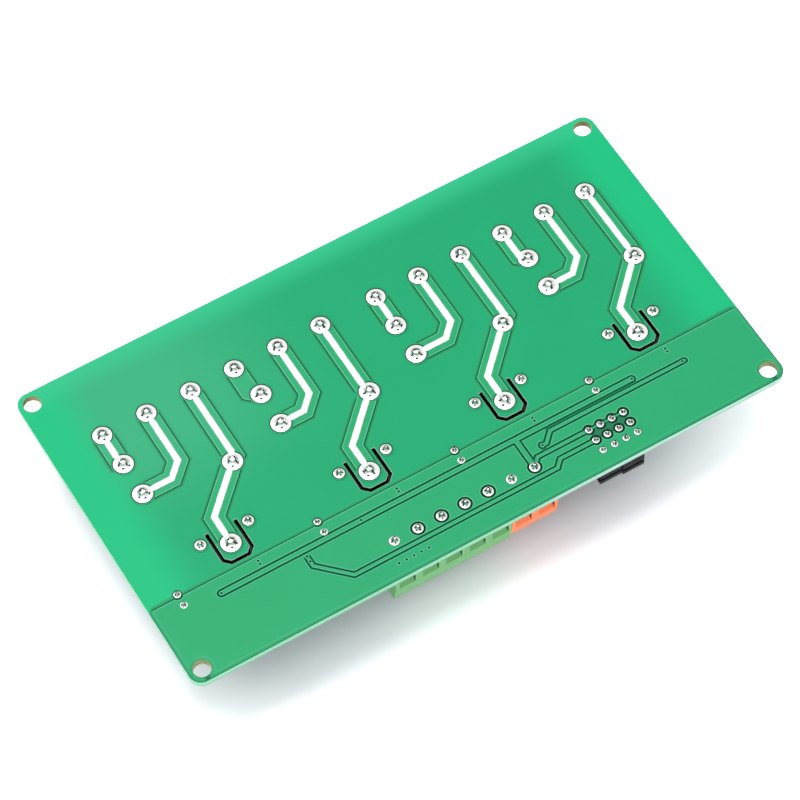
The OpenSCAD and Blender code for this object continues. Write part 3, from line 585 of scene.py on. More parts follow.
class Finish(Enum):
    """Every finish on the board."""

    MASK = SolderMask("mask_on_laminate", (0.010, 0.430, 0.180), over_copper=False)
    COPPER_MASK = SolderMask("mask_on_copper", (0.022, 0.440, 0.176), over_copper=True)
    # the cut edge carries painted shade below and at the left, and a painted glow
    CUT_EDGE = LaminateEdge(
        "cut_laminate", (0.62, 1.0, 0.80), (0.70, 1.0, 0.86), (0.13, 0.68, 0.40), (0.38, 0.66, 0.55),
        glow=0.16, left_shade=(0.68, 0.93, 0.74),
    )
    HOLE_WALL = LaminateEdge(
        "drilled_laminate", (0.42, 0.42, 0.16), (0.60, 0.58, 0.30), (0.30, 0.50, 0.22), (0.42, 0.42, 0.16)
    )
    # the slot walls are painted shade with a pale painted highlight along the rim; the via walls are painted
    # shade throughout
    SLOT_WALL = SlotWall("milled_slot", (0.004, 0.006, 0.005), (0.46, 0.72, 0.56))
    VIA_WALL = SlotWall("via_wall", (0.002, 0.004, 0.003), (0.002, 0.010, 0.006))
    SOLDER = Solder("bright_solder", (0.90, 0.89, 0.885), 0.32)
    TINNING = Metal("tinned_copper", (0.82, 0.88, 0.83), 0.34, frequency=500.0, stain=0.05)
    LEAD = Metal("tinned_lead", (0.66, 0.66, 0.65), 0.30)
    STEEL = Metal("nickel_steel", (0.62, 0.61, 0.58), 0.26)
    BRASS = Metal(
        "plated_brass", (0.80, 0.60, 0.28), 0.30, stain_frequency=400.0, duller=0.12,
        tin=(0.80, 0.80, 0.79),
    )
    RELAY = Moulded("relay_cover", (0.018, 0.018, 0.020), 0.42)
    STRIP = Moulded("strip_moulding", (0.014, 0.014, 0.015), 0.45)
    BLACK = Moulded("header_moulding", (0.010, 0.010, 0.012), 0.45, shine=0.12)
    # painted highlight: a paler band on the jumper caps' upper near face
    HIGHLIT_BLACK = Moulded("highlit_moulding", (0.020, 0.018, 0.019), 0.55, shine=0.12)
    # painted shade: near-black in the jumper caps' grip groove
    GROOVE_SHADE = Moulded("groove_shade_moulding", (0.001, 0.001, 0.0012), 0.70, shine=0.05)
    # painted light: the green and orange mouldings glow as if light passed through them
    GREEN = Moulded("green_moulding", (0.235, 0.610, 0.235), 0.45, drift=0.08, glow=0.16)
    ORANGE = Moulded("orange_moulding", (1.0, 0.250, 0.105), 0.45, drift=0.06, glow=0.42)
    # painted shade: darker colours for the right-hand walls inside the terminals' wire pockets
    GREEN_RECESS_SHADE = Moulded("green_recess_shade", (0.030, 0.075, 0.028), 0.6)
    ORANGE_RECESS_SHADE = Moulded("orange_recess_shade", (0.200, 0.045, 0.020), 0.6)
    EPOXY = Moulded("moulded_epoxy", (0.022, 0.022, 0.024), 0.55, depth=0.02 * MM)
    LENS = Lens("red_lens", (0.62, 0.020, 0.012))


Finishes = dict[Finish, bpy.types.Material]


# ---------- mesh tools ----------


def node_mesh(node: str, joined: bool = True) -> Mesh:
    """Copies a CAD node with its loose triangles merged.

    Args:
        node: a CAD node.
        joined: whether the triangles of each flat area become one face.

    Returns:
        The working mesh.
    """
    mesh = bmesh.new()
    mesh.from_mesh(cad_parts[node].data)
    bmesh.ops.remove_doubles(mesh, verts=mesh.verts, dist=MERGE)
    if joined:
        bmesh.ops.dissolve_limit(mesh, angle_limit=FLAT_ANGLE, verts=mesh.verts, edges=mesh.edges)
    return mesh


def weigh_normals(data: bpy.types.Mesh) -> None:
    """Shades a mesh smooth, with each corner's normal led by its largest faces.

    Args:
        data: the mesh.
    """
    sums = [Vector() for _ in data.vertices]
    for face in data.polygons:
        face.use_smooth = True
        for index in face.vertices:
            sums[index] += face.normal * face.area
    up = Vector((0, 0, 1))
    normals = [total.normalized() if total.length > 0 else up for total in sums]
    data.normals_split_custom_set_from_vertices(normals)


def new_object(name: str, data: bpy.types.ID) -> bpy.types.Object:
    """Puts a new object in the scene.

    Args:
        name: the object's name.
        data: its mesh, camera or light.

    Returns:
        The object.
    """
    made = bpy.data.objects.new(name, data)
    bpy.context.scene.collection.objects.link(made)
    return made


def adopt(data: bpy.types.Mesh, name: str, slot: str, replaced: Iterable[str] = ()) -> None:
    """Turns a mesh into a piece that rides on the board.

    Args:
        data: the mesh.
        name: the piece's name.
        slot: not used.
        replaced: CAD nodes that the piece stands for.
    """
    piece = new_object(name, data)
    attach(piece, BODY)
    nodes = list(replaced)
    if nodes:
        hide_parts(*nodes)
    LOG.info("piece %s, %d faces", name, len(data.polygons))


def make_piece(
    mesh: Mesh,
    name: str,
    slot: str,
    materials: Sequence[bpy.types.Material],
    replaced: Iterable[str] = (),
    weighed: bool = True,
) -> None:
    """Turns a working mesh into a piece of the object.

    Args:
        mesh: the working mesh, which is freed.
        name: the piece's name.
        slot: a slot name, handed on to adopt.
        materials: the piece's materials, in the order of its faces' numbers.
        replaced: CAD nodes that the piece stands for.
        weighed: whether the shading is smoothed over the bevels.
    """
    data = bpy.data.meshes.new(name)
    mesh.to_mesh(data)
    mesh.free()
    for material in materials:
        data.materials.append(material)
    if weighed:
        weigh_normals(data)
    adopt(data, name, slot, replaced)


def round_edges(mesh: Mesh, width: float, keep: Callable | None = None) -> None:
    """Rounds a mesh's sharp edges.

    Args:
        mesh: the working mesh.
        width: the width of the rounding.
        keep: a test that says which sharp edges are rounded.
    """
    mesh.normal_update()
    sharp = [edge for edge in mesh.edges if edge.is_manifold and edge.calc_face_angle(0.0) > SHARP_ANGLE]
    chosen = [edge for edge in sharp if keep is None or keep(edge)]
    bmesh.ops.bevel(
        mesh, geom=chosen, offset=width, offset_type="OFFSET", segments=2, profile=0.5, affect="EDGES",
        clamp_overlap=False,
    )


def walk(neighbours: dict[Vert, list[Vert]]) -> list[list[Vert]]:
    """Parts linked corners into groups.

    Args:
        neighbours: the corners that each corner is linked to.

    Returns:
        The corners of each group, in the order of a walk along the links.
    """
    left = dict.fromkeys(neighbours)
    found = []
    while left:
        heap = [next(iter(left))]
        del left[heap[0]]
        group = []
        while heap:
            vert = heap.pop()
            group.append(vert)
            for other in neighbours[vert]:
                if other in left:
                    del left[other]
                    heap.append(other)
        found.append(group)
    return found


@dataclass(frozen=True)
class Spot:
    """A soldered or plated place on the board."""

    centre: Vector
    radius: float
    top: float


def spots_of(node: str) -> list[Spot]:
    """Measures each solid of a node of solder joints.

    Args:
        node: a CAD node.

    Returns:
        The place, the radius and the height of each solid.
    """
    mesh = node_mesh(node)
    found = []
    for group in walk({vert: [edge.other_vert(vert) for edge in vert.link_edges] for vert in mesh.verts}):
        low, high = (Vector(map(pick, *(vert.co for vert in group))) for pick in (min, max))
        middle = (low + high) / 2
        found.append(Spot(Vector((middle.x, middle.y, 0.0)), (high.x - low.x) / 2, high.z))
    mesh.free()
    return found


# ---------- mask and copper ----------


@dataclass(frozen=True)
class Row:
    """One row of a rounded edge: how far out it lies, how high, and its edge value."""

    out: float
    height: float
    value: float = 0.0


def fill_flat(mesh: Mesh, loops: Sequence[Sequence[Vert]], upward: bool) -> None:
    """Fills the flat area on the left of some loops with triangles.

    Args:
        mesh: the working mesh.
        loops: the area's outlines and holes, all at one height.
        upward: whether the faces look up.
    """
    corners = [vert for loop in loops for vert in loop]
    sides = []
    for loop in loops:
        start = len(sides)
        sides.extend((start + step, start + (step + 1) % len(loop)) for step in range(len(loop)))
    flat = [vert.co.xy / MM for vert in corners]
    places, _, faces, sources, _, _ = geometry.delaunay_2d_cdt(flat, sides, [], 1, 1e-5)
    height = corners[0].co.z
    verts = [corners[source[0]] if source else mesh.verts.new((place.x * MM, place.y * MM, height))
             for place, source in zip(places, sources)]
    LOG.info("flat area, %d corners, %d added", len(corners), sum(1 for source in sources if not source))
    landed = {first: index for index, source in enumerate(sources) for first in source}
    bounds = {(landed[first], landed[second]) for first, second in sides}
    for face in inside_faces(faces, bounds):
        chosen = [verts[index] for index in (face if upward else reversed(face))]
        if len(set(chosen)) == 3:
            mesh.faces.new(chosen)


def inside_faces(faces: Sequence[Sequence[int]], bounds: set[tuple[int, int]]) -> list[Sequence[int]]:
    """Picks the triangles that lie on the left of directed bounds.

    Args:
        faces: triangles that turn left, as numbers of corners.
        bounds: the directed sides that part the inside from the outside.

    Returns:
        The triangles inside.
    """
    beside: dict[tuple[int, int], int] = {}
    inside: dict[int, bool] = {}
    for number, face in enumerate(faces):
        for first, second in zip(face, (*face[1:], face[0])):
            beside[(first, second)] = number
            if (first, second) in bounds:
                inside[number] = True
            elif (second, first) in bounds:
                inside.setdefault(number, False)
    heap = list(inside)
    while heap:
        number = heap.pop()
        face = faces[number]
        for first, second in zip(face, (*face[1:], face[0])):
            other = beside.get((second, first))
            open_side = (first, second) not in bounds and (second, first) not in bounds
            if open_side and other is not None and other not in inside:
                inside[other] = inside[number]
                heap.append(other)
    return [face for number, face in enumerate(faces) if inside.get(number)]


def spaced(route: Route, spacing: float) -> Route:
    """Puts more points on the long sides of a loop.

    Args:
        route: the loop's corners.
        spacing: about how far apart the points lie.

    Returns:
        The loop with its new points.
    """
    points = []
    for here, after in zip(route, route[1:] + route[:1]):
        count = max(1, round((after - here).length / spacing))
        points.extend(here.lerp(after, part / count) for part in range(count))
    return points


def key_of(place: Vector) -> tuple[float, float]:
    """Gives a place in the board's plane as two rounded numbers."""
    return round(place.x, 6), round(place.y, 6)


def point_tree(places: Sequence[Vector]) -> kdtree.KDTree:
    """Puts places in a tree that finds near ones.

    Args:
        places: the places.

    Returns:
        The tree, with each place's number.
    """
    tree = kdtree.KDTree(len(places))
    for number, place in enumerate(places):
        tree.insert(place, number)
    tree.balance()
    return tree


@dataclass
class Corner:
    """One corner of an outline with its outward step and its rows."""

    base: Vector
    step: Vector
    rows: list[Row]

    def end(self, number: int) -> Vector:
        """Gives the place of the corner's first row, by number 0, or of its last row, by number -1."""
        return (self.base + self.step * self.rows[number].out).to_2d().to_3d()

    def shorten(self, number: int) -> None:
        """Brings the inner rows, by number 0, or the outer rows, by number -1, closer to the outline."""
        inner = number == 0
        self.rows = [
            replace(row, out=row.out * SHORTER) if (row.out < 0.0) == inner else row for row in self.rows
        ]


def untangle(loops: Sequence[Sequence[Corner]], end: int) -> None:
    """Shortens the rows of some loops until no two sides of their last row cross.

    Args:
        loops: the corners of every loop.
        end: 0 for the inner rows and -1 for the outer rows.
    """
    sides = [(corner, after) for loop in loops for corner, after in zip(loop, [*loop[1:], loop[0]])]
    for _ in range(UNTANGLE_ROUNDS):
        spans = [(first.end(end), second.end(end)) for first, second in sides]
        tree = point_tree([(start + stop) / 2 for start, stop in spans])
        crossed: dict[int, Corner] = {}
        for number, (start, stop) in enumerate(spans):
            for _, other, _ in tree.find_range((start + stop) / 2, UNTANGLE_REACH):
                four = {id(corner): corner for corner in (*sides[number], *sides[other])}
                if other > number and len(four) == 4:
                    ends = (start, stop, *spans[other])
                    if geometry.intersect_line_line_2d(*(place.xy for place in ends)):
                        crossed.update(four)
        if not crossed:
            break
        for corner in crossed.values():
            corner.shorten(end)
    LOG.info("rows of %d corners, %d still crossed", len(sides), len(crossed))


class Outline:
    """The loops that bound the upper face of a flat CAD node."""

    def __init__(self, node: str) -> None:
        """Reads the loops, each with the copper on its left.

        Args:
            node: a flat CAD node.
        """
        mesh = node_mesh(node, joined=False)
        self.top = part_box(node)[1].z
        mesh.normal_update()
        upper = dict.fromkeys(
            face for face in mesh.faces
            if face.normal.z > 0.9 and abs(face.calc_center_median().z - self.top) < LEVEL
        )
        follows: dict[int, Vert] = {}
        for face in upper:
            for loop in face.loops:
                if not any(other in upper for other in loop.edge.link_faces if other is not face):
                    follows[loop.vert.index] = loop.link_loop_next.vert
        mesh.verts.ensure_lookup_table()
        self.loops: list[Route] = []
        while follows:
            route = []
            index = next(iter(follows))
            while index in follows:
                route.append(mesh.verts[index].co.copy())
                index = follows.pop(index).index
            self.loops.append(route)
        mesh.free()

    def refine(self, spacing: float) -> None:
        """Puts more points on the long sides of every loop.

        Args:
            spacing: about how far apart the points lie.
        """
        self.loops = [spaced(route, spacing) for route in self.loops]

    @staticmethod
    def outward(route: Route) -> Route:
        """Finds the way out at each corner of a loop.

        Args:
            route: the loop's corners.

        Returns:
            The step at each corner that moves both its sides out by one.
        """
        steps = []
        for before, here, after in zip(route[-1:] + route[:-1], route, route[1:] + route[:1]):
            first, second = (here - before).normalized(), (after - here).normalized()
            sides = Vector((first.y + second.y, -first.x - second.x, 0.0))
            steps.append(sides / max(1.0 + first.dot(second), 0.4))
        return steps

    def widths(self, widest: float) -> dict[tuple[float, float], float]:
        """Measures how wide the copper is at the corners where it is narrow.

        Args:
            widest: the width below which copper counts as narrow.

        Returns:
            The width at each narrow corner, by the corner's place.
        """
        corners = []
        for route in self.loops:
            corners.extend((place, step.normalized()) for place, step in zip(route, self.outward(route)))
        tree = point_tree([place for place, _ in corners])
        found: dict[tuple[float, float], float] = {}
        for place, way in corners:
            for other, number, _ in tree.find_range(place, 1.5 * widest):
                away = other - place
                across = -away.dot(way)
                sideways = (away + way * across).length
                opposite = corners[number][1].dot(way) < -0.5
                if 0.02 * MM < across < widest and sideways < across + 0.1 * MM and opposite:
                    found[key_of(place)] = min(across, found.get(key_of(place), widest))
        return found

    def relief(
        self, rows_at: Callable[[Vector], Sequence[Row]], shift: Callable[[Vector], Vector] | None = None
    ) -> Mesh:
        """Builds a closed sheet with a rounded edge.

        Args:
            rows_at: gives the rows for one place of the outline, from the inside out.
            shift: moves a corner of the outline before its rows are laid.

        Returns:
            The working mesh, with the edge values on its vertices.
        """
        mesh = bmesh.new()
        layer = mesh.verts.layers.float.new(EDGE_LAYER)
        loops = [
            [
                Corner(shift(place) if shift else place, step, list(rows_at(place)))
                for place, step in zip(route, self.outward(route))
            ]
            for route in self.loops
        ]
        for end in (0, -1):
            untangle(loops, end)
        inner_loops, outer_loops = [], []
        for corners in loops:
            ladders = []
            for corner in corners:
                ladder = []
                for row in corner.rows:
                    spot = corner.base + corner.step * row.out
                    vert = mesh.verts.new((spot.x, spot.y, row.height))
                    vert[layer] = row.value
                    ladder.append(vert)
                ladders.append(ladder)
            for first, second in zip(ladders, ladders[1:] + ladders[:1]):
                for number in range(len(first) - 1):
                    mesh.faces.new((first[number], first[number + 1], second[number + 1], second[number]))
            inner_loops.append([ladder[0] for ladder in ladders])
            outer_loops.append([ladder[-1] for ladder in ladders])
        fill_flat(mesh, inner_loops, upward=True)
        fill_flat(mesh, outer_loops, upward=False)
        return mesh


class Shoulder(Enum):
    """What lies beside the copper at one place of its outline."""

    OPEN = "bare laminate"
    GROOVE = "a narrow gap to other copper"
    BORDER = "the board's edge"
    PAD = "the solder of a pad"
    SLIVER = "a gap on both sides"


@dataclass
class MaskRelief:
    """Copper areas under the mask, with the mask's rounded shoulders, a painted highlight on them and the
    dark line beside them, partly mask pooled thicker and partly painted shade.
    """

    foot_z: float = -0.01 * MM
    full_inward: float = 0.26 * MM
    sliver: float = 0.22 * MM
    hole_reach: float = 3.2 * MM
    border_width: float = 0.6 * MM
    spacing: float = 0.5 * MM
    clear: float = 0.02 * MM
    least_room: float = 0.1 * MM

    # how far out each row lies, its share of the copper's height and its edge value, which paints a highlight
    # above 0 and shade below 0
    ROWS = {
        Shoulder.OPEN: (
            (-0.26, 1.0, 0.0), (-0.20, 1.0, 0.9), (-0.05, 0.90, 1.0), (0.03, 0.55, -0.8), (0.13, 0.20, -1.0),
            (0.24, 0.10, -0.55), (0.50, 0.04, -0.28), (0.95, 0.01, 0.0),
        ),
        Shoulder.GROOVE: (
            (-0.26, 1.0, 0.0), (-0.20, 1.0, 0.7), (-0.10, 0.95, 0.8), (-0.02, 0.70, -0.5), (0.04, 0.40, -1.1),
            (0.09, 0.20, -1.25), (0.14, 0.10, -1.25), (0.20, 0.01, -1.25),
        ),
        Shoulder.BORDER: (
            (-0.50, 1.0, 0.0), (-0.40, 1.0, 0.30), (-0.22, 1.0, 0.30), (-0.06, 0.80, 0.0),
            (0.02, 0.50, -0.15), (0.08, 0.25, -0.20), (0.14, 0.10, -0.10), (0.20, 0.01, 0.1),
        ),
        Shoulder.PAD: (
            (-0.06, 1.0, 0.0), (-0.05, 1.0, 0.0), (-0.04, 1.0, 0.0), (-0.03, 0.95, 0.0), (0.01, 0.70, 0.0),
            (0.02, 0.40, 0.0), (0.03, 0.10, 0.0), (0.04, 0.01, 0.0),
        ),
        Shoulder.SLIVER: (
            (-0.05, 0.04, -0.6), (-0.04, 0.04, -0.6), (-0.03, 0.04, -0.6), (-0.02, 0.04, -0.6),
            (0.0, 0.04, -0.6), (0.05, 0.03, -0.7), (0.10, 0.02, -0.8), (0.20, 0.01, -0.9),
        ),
    }

    def build(self, finishes: Finishes, slots: Sequence[Route], holes: Sequence[Vector]) -> None:
        """Replaces each copper node by a sheet with shoulders.

        Args:
            finishes: the board's materials.
            slots: the rims of the milled slots, which the sheets keep clear of.
            holes: the centres of the mounting holes.
        """
        ground_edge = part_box("ground_plane")[1].y
        points = [place.xy for rim in slots for place in rim]
        pads = [spot for kind in SolderJoints.KINDS for spot in spots_of(kind.node)]
        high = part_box("board")[1]
        for node in ("ground_plane", "signal_tracks", "power_tracks"):
            outline = Outline(node)
            outline.refine(self.spacing)
            top = outline.top
            widths = outline.widths(2.2 * self.full_inward)

            def rows_at(place: Vector) -> list[Row]:
                """Lays the rows for one place of the outline.

                Args:
                    place: the place.

                Returns:
                    The rows of the shoulder that fits there.
                """
                width = widths.get(key_of(place), math.inf)
                margin = min(high.x - abs(place.x), high.y - abs(place.y))
                room = min(margin, min((place.xy - point).length for point in points)) - self.clear
                if any((place.xy - pad.centre.xy).length < pad.radius + 0.06 * MM for pad in pads):
                    kind = Shoulder.PAD
                elif node == "ground_plane" and width < self.sliver:
                    kind = Shoulder.SLIVER
                elif margin < self.border_width or any(
                    (place.xy - hole.xy).length < self.hole_reach for hole in holes
                ):
                    kind = Shoulder.BORDER
                elif place.y < ground_edge - 0.05 * MM:
                    kind = Shoulder.GROOVE
                else:
                    kind = Shoulder.OPEN
                return self._rows(kind, top, 0.45 * width, room)

            mesh = outline.relief(rows_at)
            materials = [finishes[Finish.COPPER_MASK]]
            make_piece(mesh, f"{node}_relief", "masked_copper", materials, [node], weighed=False)

    def _rows(self, kind: Shoulder, top: float, inward: float, room: float) -> list[Row]:
        """Lays the rows of one shoulder.

        Args:
            kind: what lies beside the copper.
            top: the copper's height.
            inward: how far in the rows may reach.
            room: how far out they may reach.

        Returns:
            The rows from the inside out.
        """
        table = self.ROWS[kind]
        shrink_in = min(1.0, inward / (-table[0][0] * MM))
        rows = []
        for number, (out, share, value) in enumerate(table):
            last = max(room, self.least_room) - (len(table) - 1 - number) * FEET_APART
            rows.append(Row(out * MM * shrink_in if out < 0 else min(out * MM, last), share * top, value))
        rows.append(Row(rows[-1].out, self.foot_z, rows[-1].value))
        return rows


@dataclass
class TinnedStrips:
    """The strips of bare tinned copper on the load tracks, which run into the solder of their pads."""

    reach: float = 0.55 * MM
    waver: float = 0.05 * MM
    waves_per_metre: float = 900.0
    seed: int = 5
    spacing: float = 0.6 * MM

    def build(self, finishes: Finishes, pads: Sequence[Spot]) -> None:
        """Replaces the strips by flat bands with rounded edges.

        Args:
            finishes: the board's materials.
            pads: every large solder joint.
        """
        outline = Outline("tinned_strips")
        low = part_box("tinned_strips")[0].z
        top = outline.top
        rows = [
            Row(-0.24 * MM, top),
            Row(-0.10 * MM, top - 0.03 * MM),
            Row(-0.02 * MM, low + 0.10 * MM),
            Row(0.0, low),
            Row(0.0, low - 0.05 * MM),
        ]
        outline.refine(self.spacing)
        noise.seed_set(self.seed)

        def shift(place: Vector) -> Vector:
            """Leads a strip's end into its pad and lets its sides waver.

            Args:
                place: a place of the strip's outline.

            Returns:
                Where the place moves to.
            """
            for pad in pads:
                way = pad.centre.xy - place.xy
                if way.length < pad.radius + 0.10 * MM:
                    return place + (way.normalized() * self.reach).to_3d()
            wave = noise.noise_vector(place * self.waves_per_metre) * self.waver
            return place + Vector((wave.x, wave.y, 0.0))

        mesh = outline.relief(lambda place: rows, shift)
        make_piece(mesh, "tinned_bands", "solder", [finishes[Finish.TINNING]], ["tinned_strips"])


class Wall(IntEnum):
    """What a wall of the panel belongs to, by the number of its material. Other holes keep the mask."""

    MASK = 0
    OUTER = 1
    MOUNTING = 2
    SLOT = 3
    VIA = 4


@dataclass
class Panel:
    """The laminate, with its mask above and below, its cut edges, its slots and its drilled holes."""

    edge_round: float = 0.08 * MM
    via_limit: float = 0.3 * MM
    hole_limit: float = 1.5 * MM
    outline_limit: float = 20 * MM
    slot_spacing: float = 0.2 * MM
    hole_reach: float = 2.0 * MM
    outer_reach: float = 1.0 * MM
    slot_reach: float = 5.5 * MM

    WALLS = (Finish.MASK, Finish.CUT_EDGE, Finish.HOLE_WALL, Finish.SLOT_WALL, Finish.VIA_WALL)

    def build(self, finishes: Finishes) -> tuple[list[Spot], list[Route], list[Vector]]:
        """Replaces the board by a panel with eased edges.

        Args:
            finishes: the board's materials.

        Returns:
            The plated holes that carry no lead, the rims of the milled slots and the mounting holes' centres.
        """
        mesh = node_mesh("board")
        low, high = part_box("board")
        rims = self._rims(mesh, high.z)
        vias, slots, wide = [], [], []
        for rim in rims:
            centre = sum(rim, Vector()) / len(rim)
            spread = max((place - centre).length for place in rim)
            if spread < self.via_limit:
                vias.append(Spot(centre, spread, high.z))
            elif spread > self.outline_limit:
                continue
            elif min((place - centre).length for place in rim) > 0.9 * spread:
                if spread > self.hole_limit:
                    wide.append(centre)
            else:
                slots.append(spaced(rim, self.slot_spacing))
        slot_points = [place.xy for rim in slots for place in rim]

        def rounded(edge: bmesh.types.BMEdge) -> bool:
            """Says whether an edge is eased.

            Args:
                edge: a sharp edge.

            Returns:
                Whether it lies on the rim of the outline, a slot or a mounting hole.
            """
            first, second = (vert.co for vert in edge.verts)
            level = all(min(abs(end.z - high.z), abs(end.z - low.z)) < LEVEL for end in (first, second))
            return level and self._wall((first + second) / 2, high, wide, slot_points) != Wall.MASK

        round_edges(mesh, self.edge_round, rounded)
        mesh.normal_update()
        for face in mesh.faces:
            if abs(face.normal.z) > 0.97:
                continue
            middle = face.calc_center_median()
            in_via = any((middle.xy - via.centre.xy).length < 2 * self.via_limit for via in vias)
            wall = Wall.VIA if in_via else self._wall(middle, high, wide, slot_points) or Wall.SLOT
            sloping = abs(face.normal.z) > 0.3
            face.material_index = Wall.MASK if wall == Wall.OUTER and sloping else wall
        materials = [finishes[finish] for finish in self.WALLS]
        make_piece(mesh, "laminate_panel", "laminate", materials, ["board"])
        return vias, slots, wide

    def _wall(
        self, place: Vector, high: Vector, holes: Sequence[Vector], slot_points: Sequence[Vector]
    ) -> Wall:
        """Says what a place on a wall belongs to.

        Args:
            place: the place.
            high: the board's highest corner.
            holes: the centres of the mounting holes.
            slot_points: the corners of the milled slots.

        Returns:
            The kind of wall.
        """
        if any((place.xy - hole.xy).length < self.hole_reach for hole in holes):
            return Wall.MOUNTING
        if abs(place.x) > high.x - self.outer_reach or abs(place.y) > high.y - self.outer_reach:
            return Wall.OUTER
        if min((place.xy - point).length for point in slot_points) < self.slot_reach:
            return Wall.SLOT
        return Wall.MASK

    @staticmethod
    def _rims(mesh: Mesh, top: float) -> list[Route]:
        """Finds the loops of sharp edges in the board's upper face.

        Args:
            mesh: the board's working mesh.
            top: the height of the upper face.

        Returns:
            The points of each loop.
        """
        mesh.normal_update()
        neighbours: dict[Vert, list[Vert]] = {}
        for edge in mesh.edges:
            if edge.calc_face_angle(0.0) > 1.0 and all(abs(vert.co.z - top) < LEVEL for vert in edge.verts):
                for vert in edge.verts:
                    neighbours.setdefault(vert, []).append(edge.other_vert(vert))
        return [[vert.co.copy() for vert in rim] for rim in walk(neighbours)]


# ---------- repeated shapes ----------


def placing_tree() -> bpy.types.GeometryNodeTree:
    """Builds the tree that puts one shape on every point, turned and roughened for each place.

    Returns:
        A geometry tree with inputs for the shape, its turn, its unevenness, its seed and its material.
    """
    inputs = {
        "Geometry": "Geometry", "Shape": "Object", "Turn": "Float", "Uneven": "Float", "Lumps": "Float",
        "Rest": "Float", "Seed": "Int", "Material": "Material",
    }
    wiring = new_tree("place_on_points", "GeometryNodeTree", inputs, {"Geometry": "Geometry"})
    given = wiring.add("NodeGroupInput")
    shape = wiring.add("GeometryNodeObjectInfo", {"Object": given["Shape"]})["Geometry"]
    limits = {2: -1.0, 3: 1.0, "Seed": given["Seed"]}
    angle = wiring.add("FunctionNodeRandomValue", limits, data_type="FLOAT")[1]
    turn = wiring.add("ShaderNodeCombineXYZ", {"Z": wiring.math("MULTIPLY", angle, given["Turn"])})[0]
    values = {"Points": given["Geometry"], "Instance": shape, "Rotation": turn}
    placed = wiring.add("GeometryNodeInstanceOnPoints", values)[0]
    real = wiring.add("GeometryNodeRealizeInstances", {"Geometry": placed})[0]
    position = wiring.add("GeometryNodeInputPosition")[0]
    lumps = wiring.cloud(position, given["Lumps"], 2.0)["Color"]
    centred = wiring.add("ShaderNodeVectorMath", {0: lumps, 1: (0.5, 0.5, 0.5)}, operation="SUBTRACT")[0]
    height = wiring.add("ShaderNodeSeparateXYZ", {0: position})["Z"]
    loose = wiring.math("ADD", given["Rest"], 0.4 * MM)
    free = wiring.add("ShaderNodeMapRange", {"Value": height, 1: given["Rest"], 2: loose})[0]
    amount = wiring.math("MULTIPLY", free, given["Uneven"])
    offset = wiring.add("ShaderNodeVectorMath", {0: centred, "Scale": amount}, operation="SCALE")[0]
    moved = wiring.add("GeometryNodeSetPosition", {"Geometry": real, "Offset": offset})[0]
    values = {"Geometry": moved, "Material": given["Material"]}
    wiring.add("NodeGroupOutput", {0: wiring.add("GeometryNodeSetMaterial", values)[0]})
    return wiring.tree


@dataclass
class Placer:
    """Puts a shape on many points through the placing tree."""

    tree: bpy.types.GeometryNodeTree

    def place(
        self,
        name: str,
        points: Sequence[Vector],
        shape: Mesh,
        material: bpy.types.Material,
        slot: str,
        replaced: Iterable[str] = (),
        **inputs: float,
    ) -> None:
        """Makes one piece of a shape on every point.

        Args:
            name: the piece's name.
            points: where the shape goes.
            shape: the shape, round its own origin. It is freed.
            material: the piece's material.
            slot: a slot name, handed on to adopt.
            replaced: CAD nodes that the piece stands for.
            inputs: the tree's own inputs, by name.
        """
        model = new_object(f"{name}_shape", bpy.data.meshes.new(f"{name}_shape"))
        shape.to_mesh(model.data)
        shape.free()
        carrier = new_object(f"{name}_points", bpy.data.meshes.new(f"{name}_points"))
        carrier.data.from_pydata([tuple(point) for point in points], [], [])
        modifier = carrier.modifiers.new("place", "NODES")
        modifier.node_group = self.tree
        settings = {"Turn": 0.0, "Uneven": 0.0, "Lumps": 600.0, "Rest": 0.15 * MM, "Seed": 1}
        settings.update(inputs, Shape=model, Material=material)
        for item in self.tree.interface.items_tree:
            if item.in_out == "INPUT" and item.name in settings:
                modifier[item.identifier] = settings[item.name]
        bpy.context.view_layer.update()
        graph = bpy.context.evaluated_depsgraph_get()
        made = carrier.evaluated_get(graph)
        data = bpy.data.meshes.new_from_object(made, preserve_all_data_layers=True, depsgraph=graph)
        for helper in (model, carrier):
            bpy.data.objects.remove(helper)
        data.name = name
        for vert in data.vertices:
            vert.co.z = min(vert.co.z, CAD_BOX[1].z)
        weigh_normals(data)
        adopt(data, name, slot, replaced)


def add_ring(mesh: Mesh, radius: float, height: float, steps: int) -> list[Vert]:
    """Adds a ring of corners round the Z axis.

    Args:
        mesh: the working mesh.
        radius: the ring's radius.
        height: the ring's height.
        steps: how many corners it has.

    Returns:
        The corners.
    """
    angles = [step * math.tau / steps for step in range(steps)]
    return [mesh.verts.new((radius * math.cos(angle), radius * math.sin(angle), height)) for angle in angles]


def add_band(mesh: Mesh, lower: Sequence[Vert], upper: Sequence[Vert]) -> None:
    """Joins two rings by faces that look outwards when the second ring is above the first."""
    for first, second, third, fourth in zip(lower, [*lower[1:], lower[0]], [*upper[1:], upper[0]], upper):
        mesh.faces.new((first, second, third, fourth))


def collar(radius: float, table: Sequence[tuple[float, float, float]], steps: int) -> Mesh:
    """Shapes a closed collar round the Z axis.

    Args:
        radius: the radius that the collar is measured from.
        table: how far out each ring lies and its height, in millimetres, and its edge value.
        steps: how many corners go round.

    Returns:
        The collar, with the edge values on its vertices.
    """
    mesh = bmesh.new()
    layer = mesh.verts.layers.float.new(EDGE_LAYER)
    rings = []
    for out, height, value in table:
        ring = add_ring(mesh, radius + out * MM, height * MM, steps)
        for vert in ring:
            vert[layer] = value
        rings.append(ring)
    for inner, outer in zip(rings, rings[1:] + rings[:1]):
        add_band(mesh, outer, inner)
    return mesh


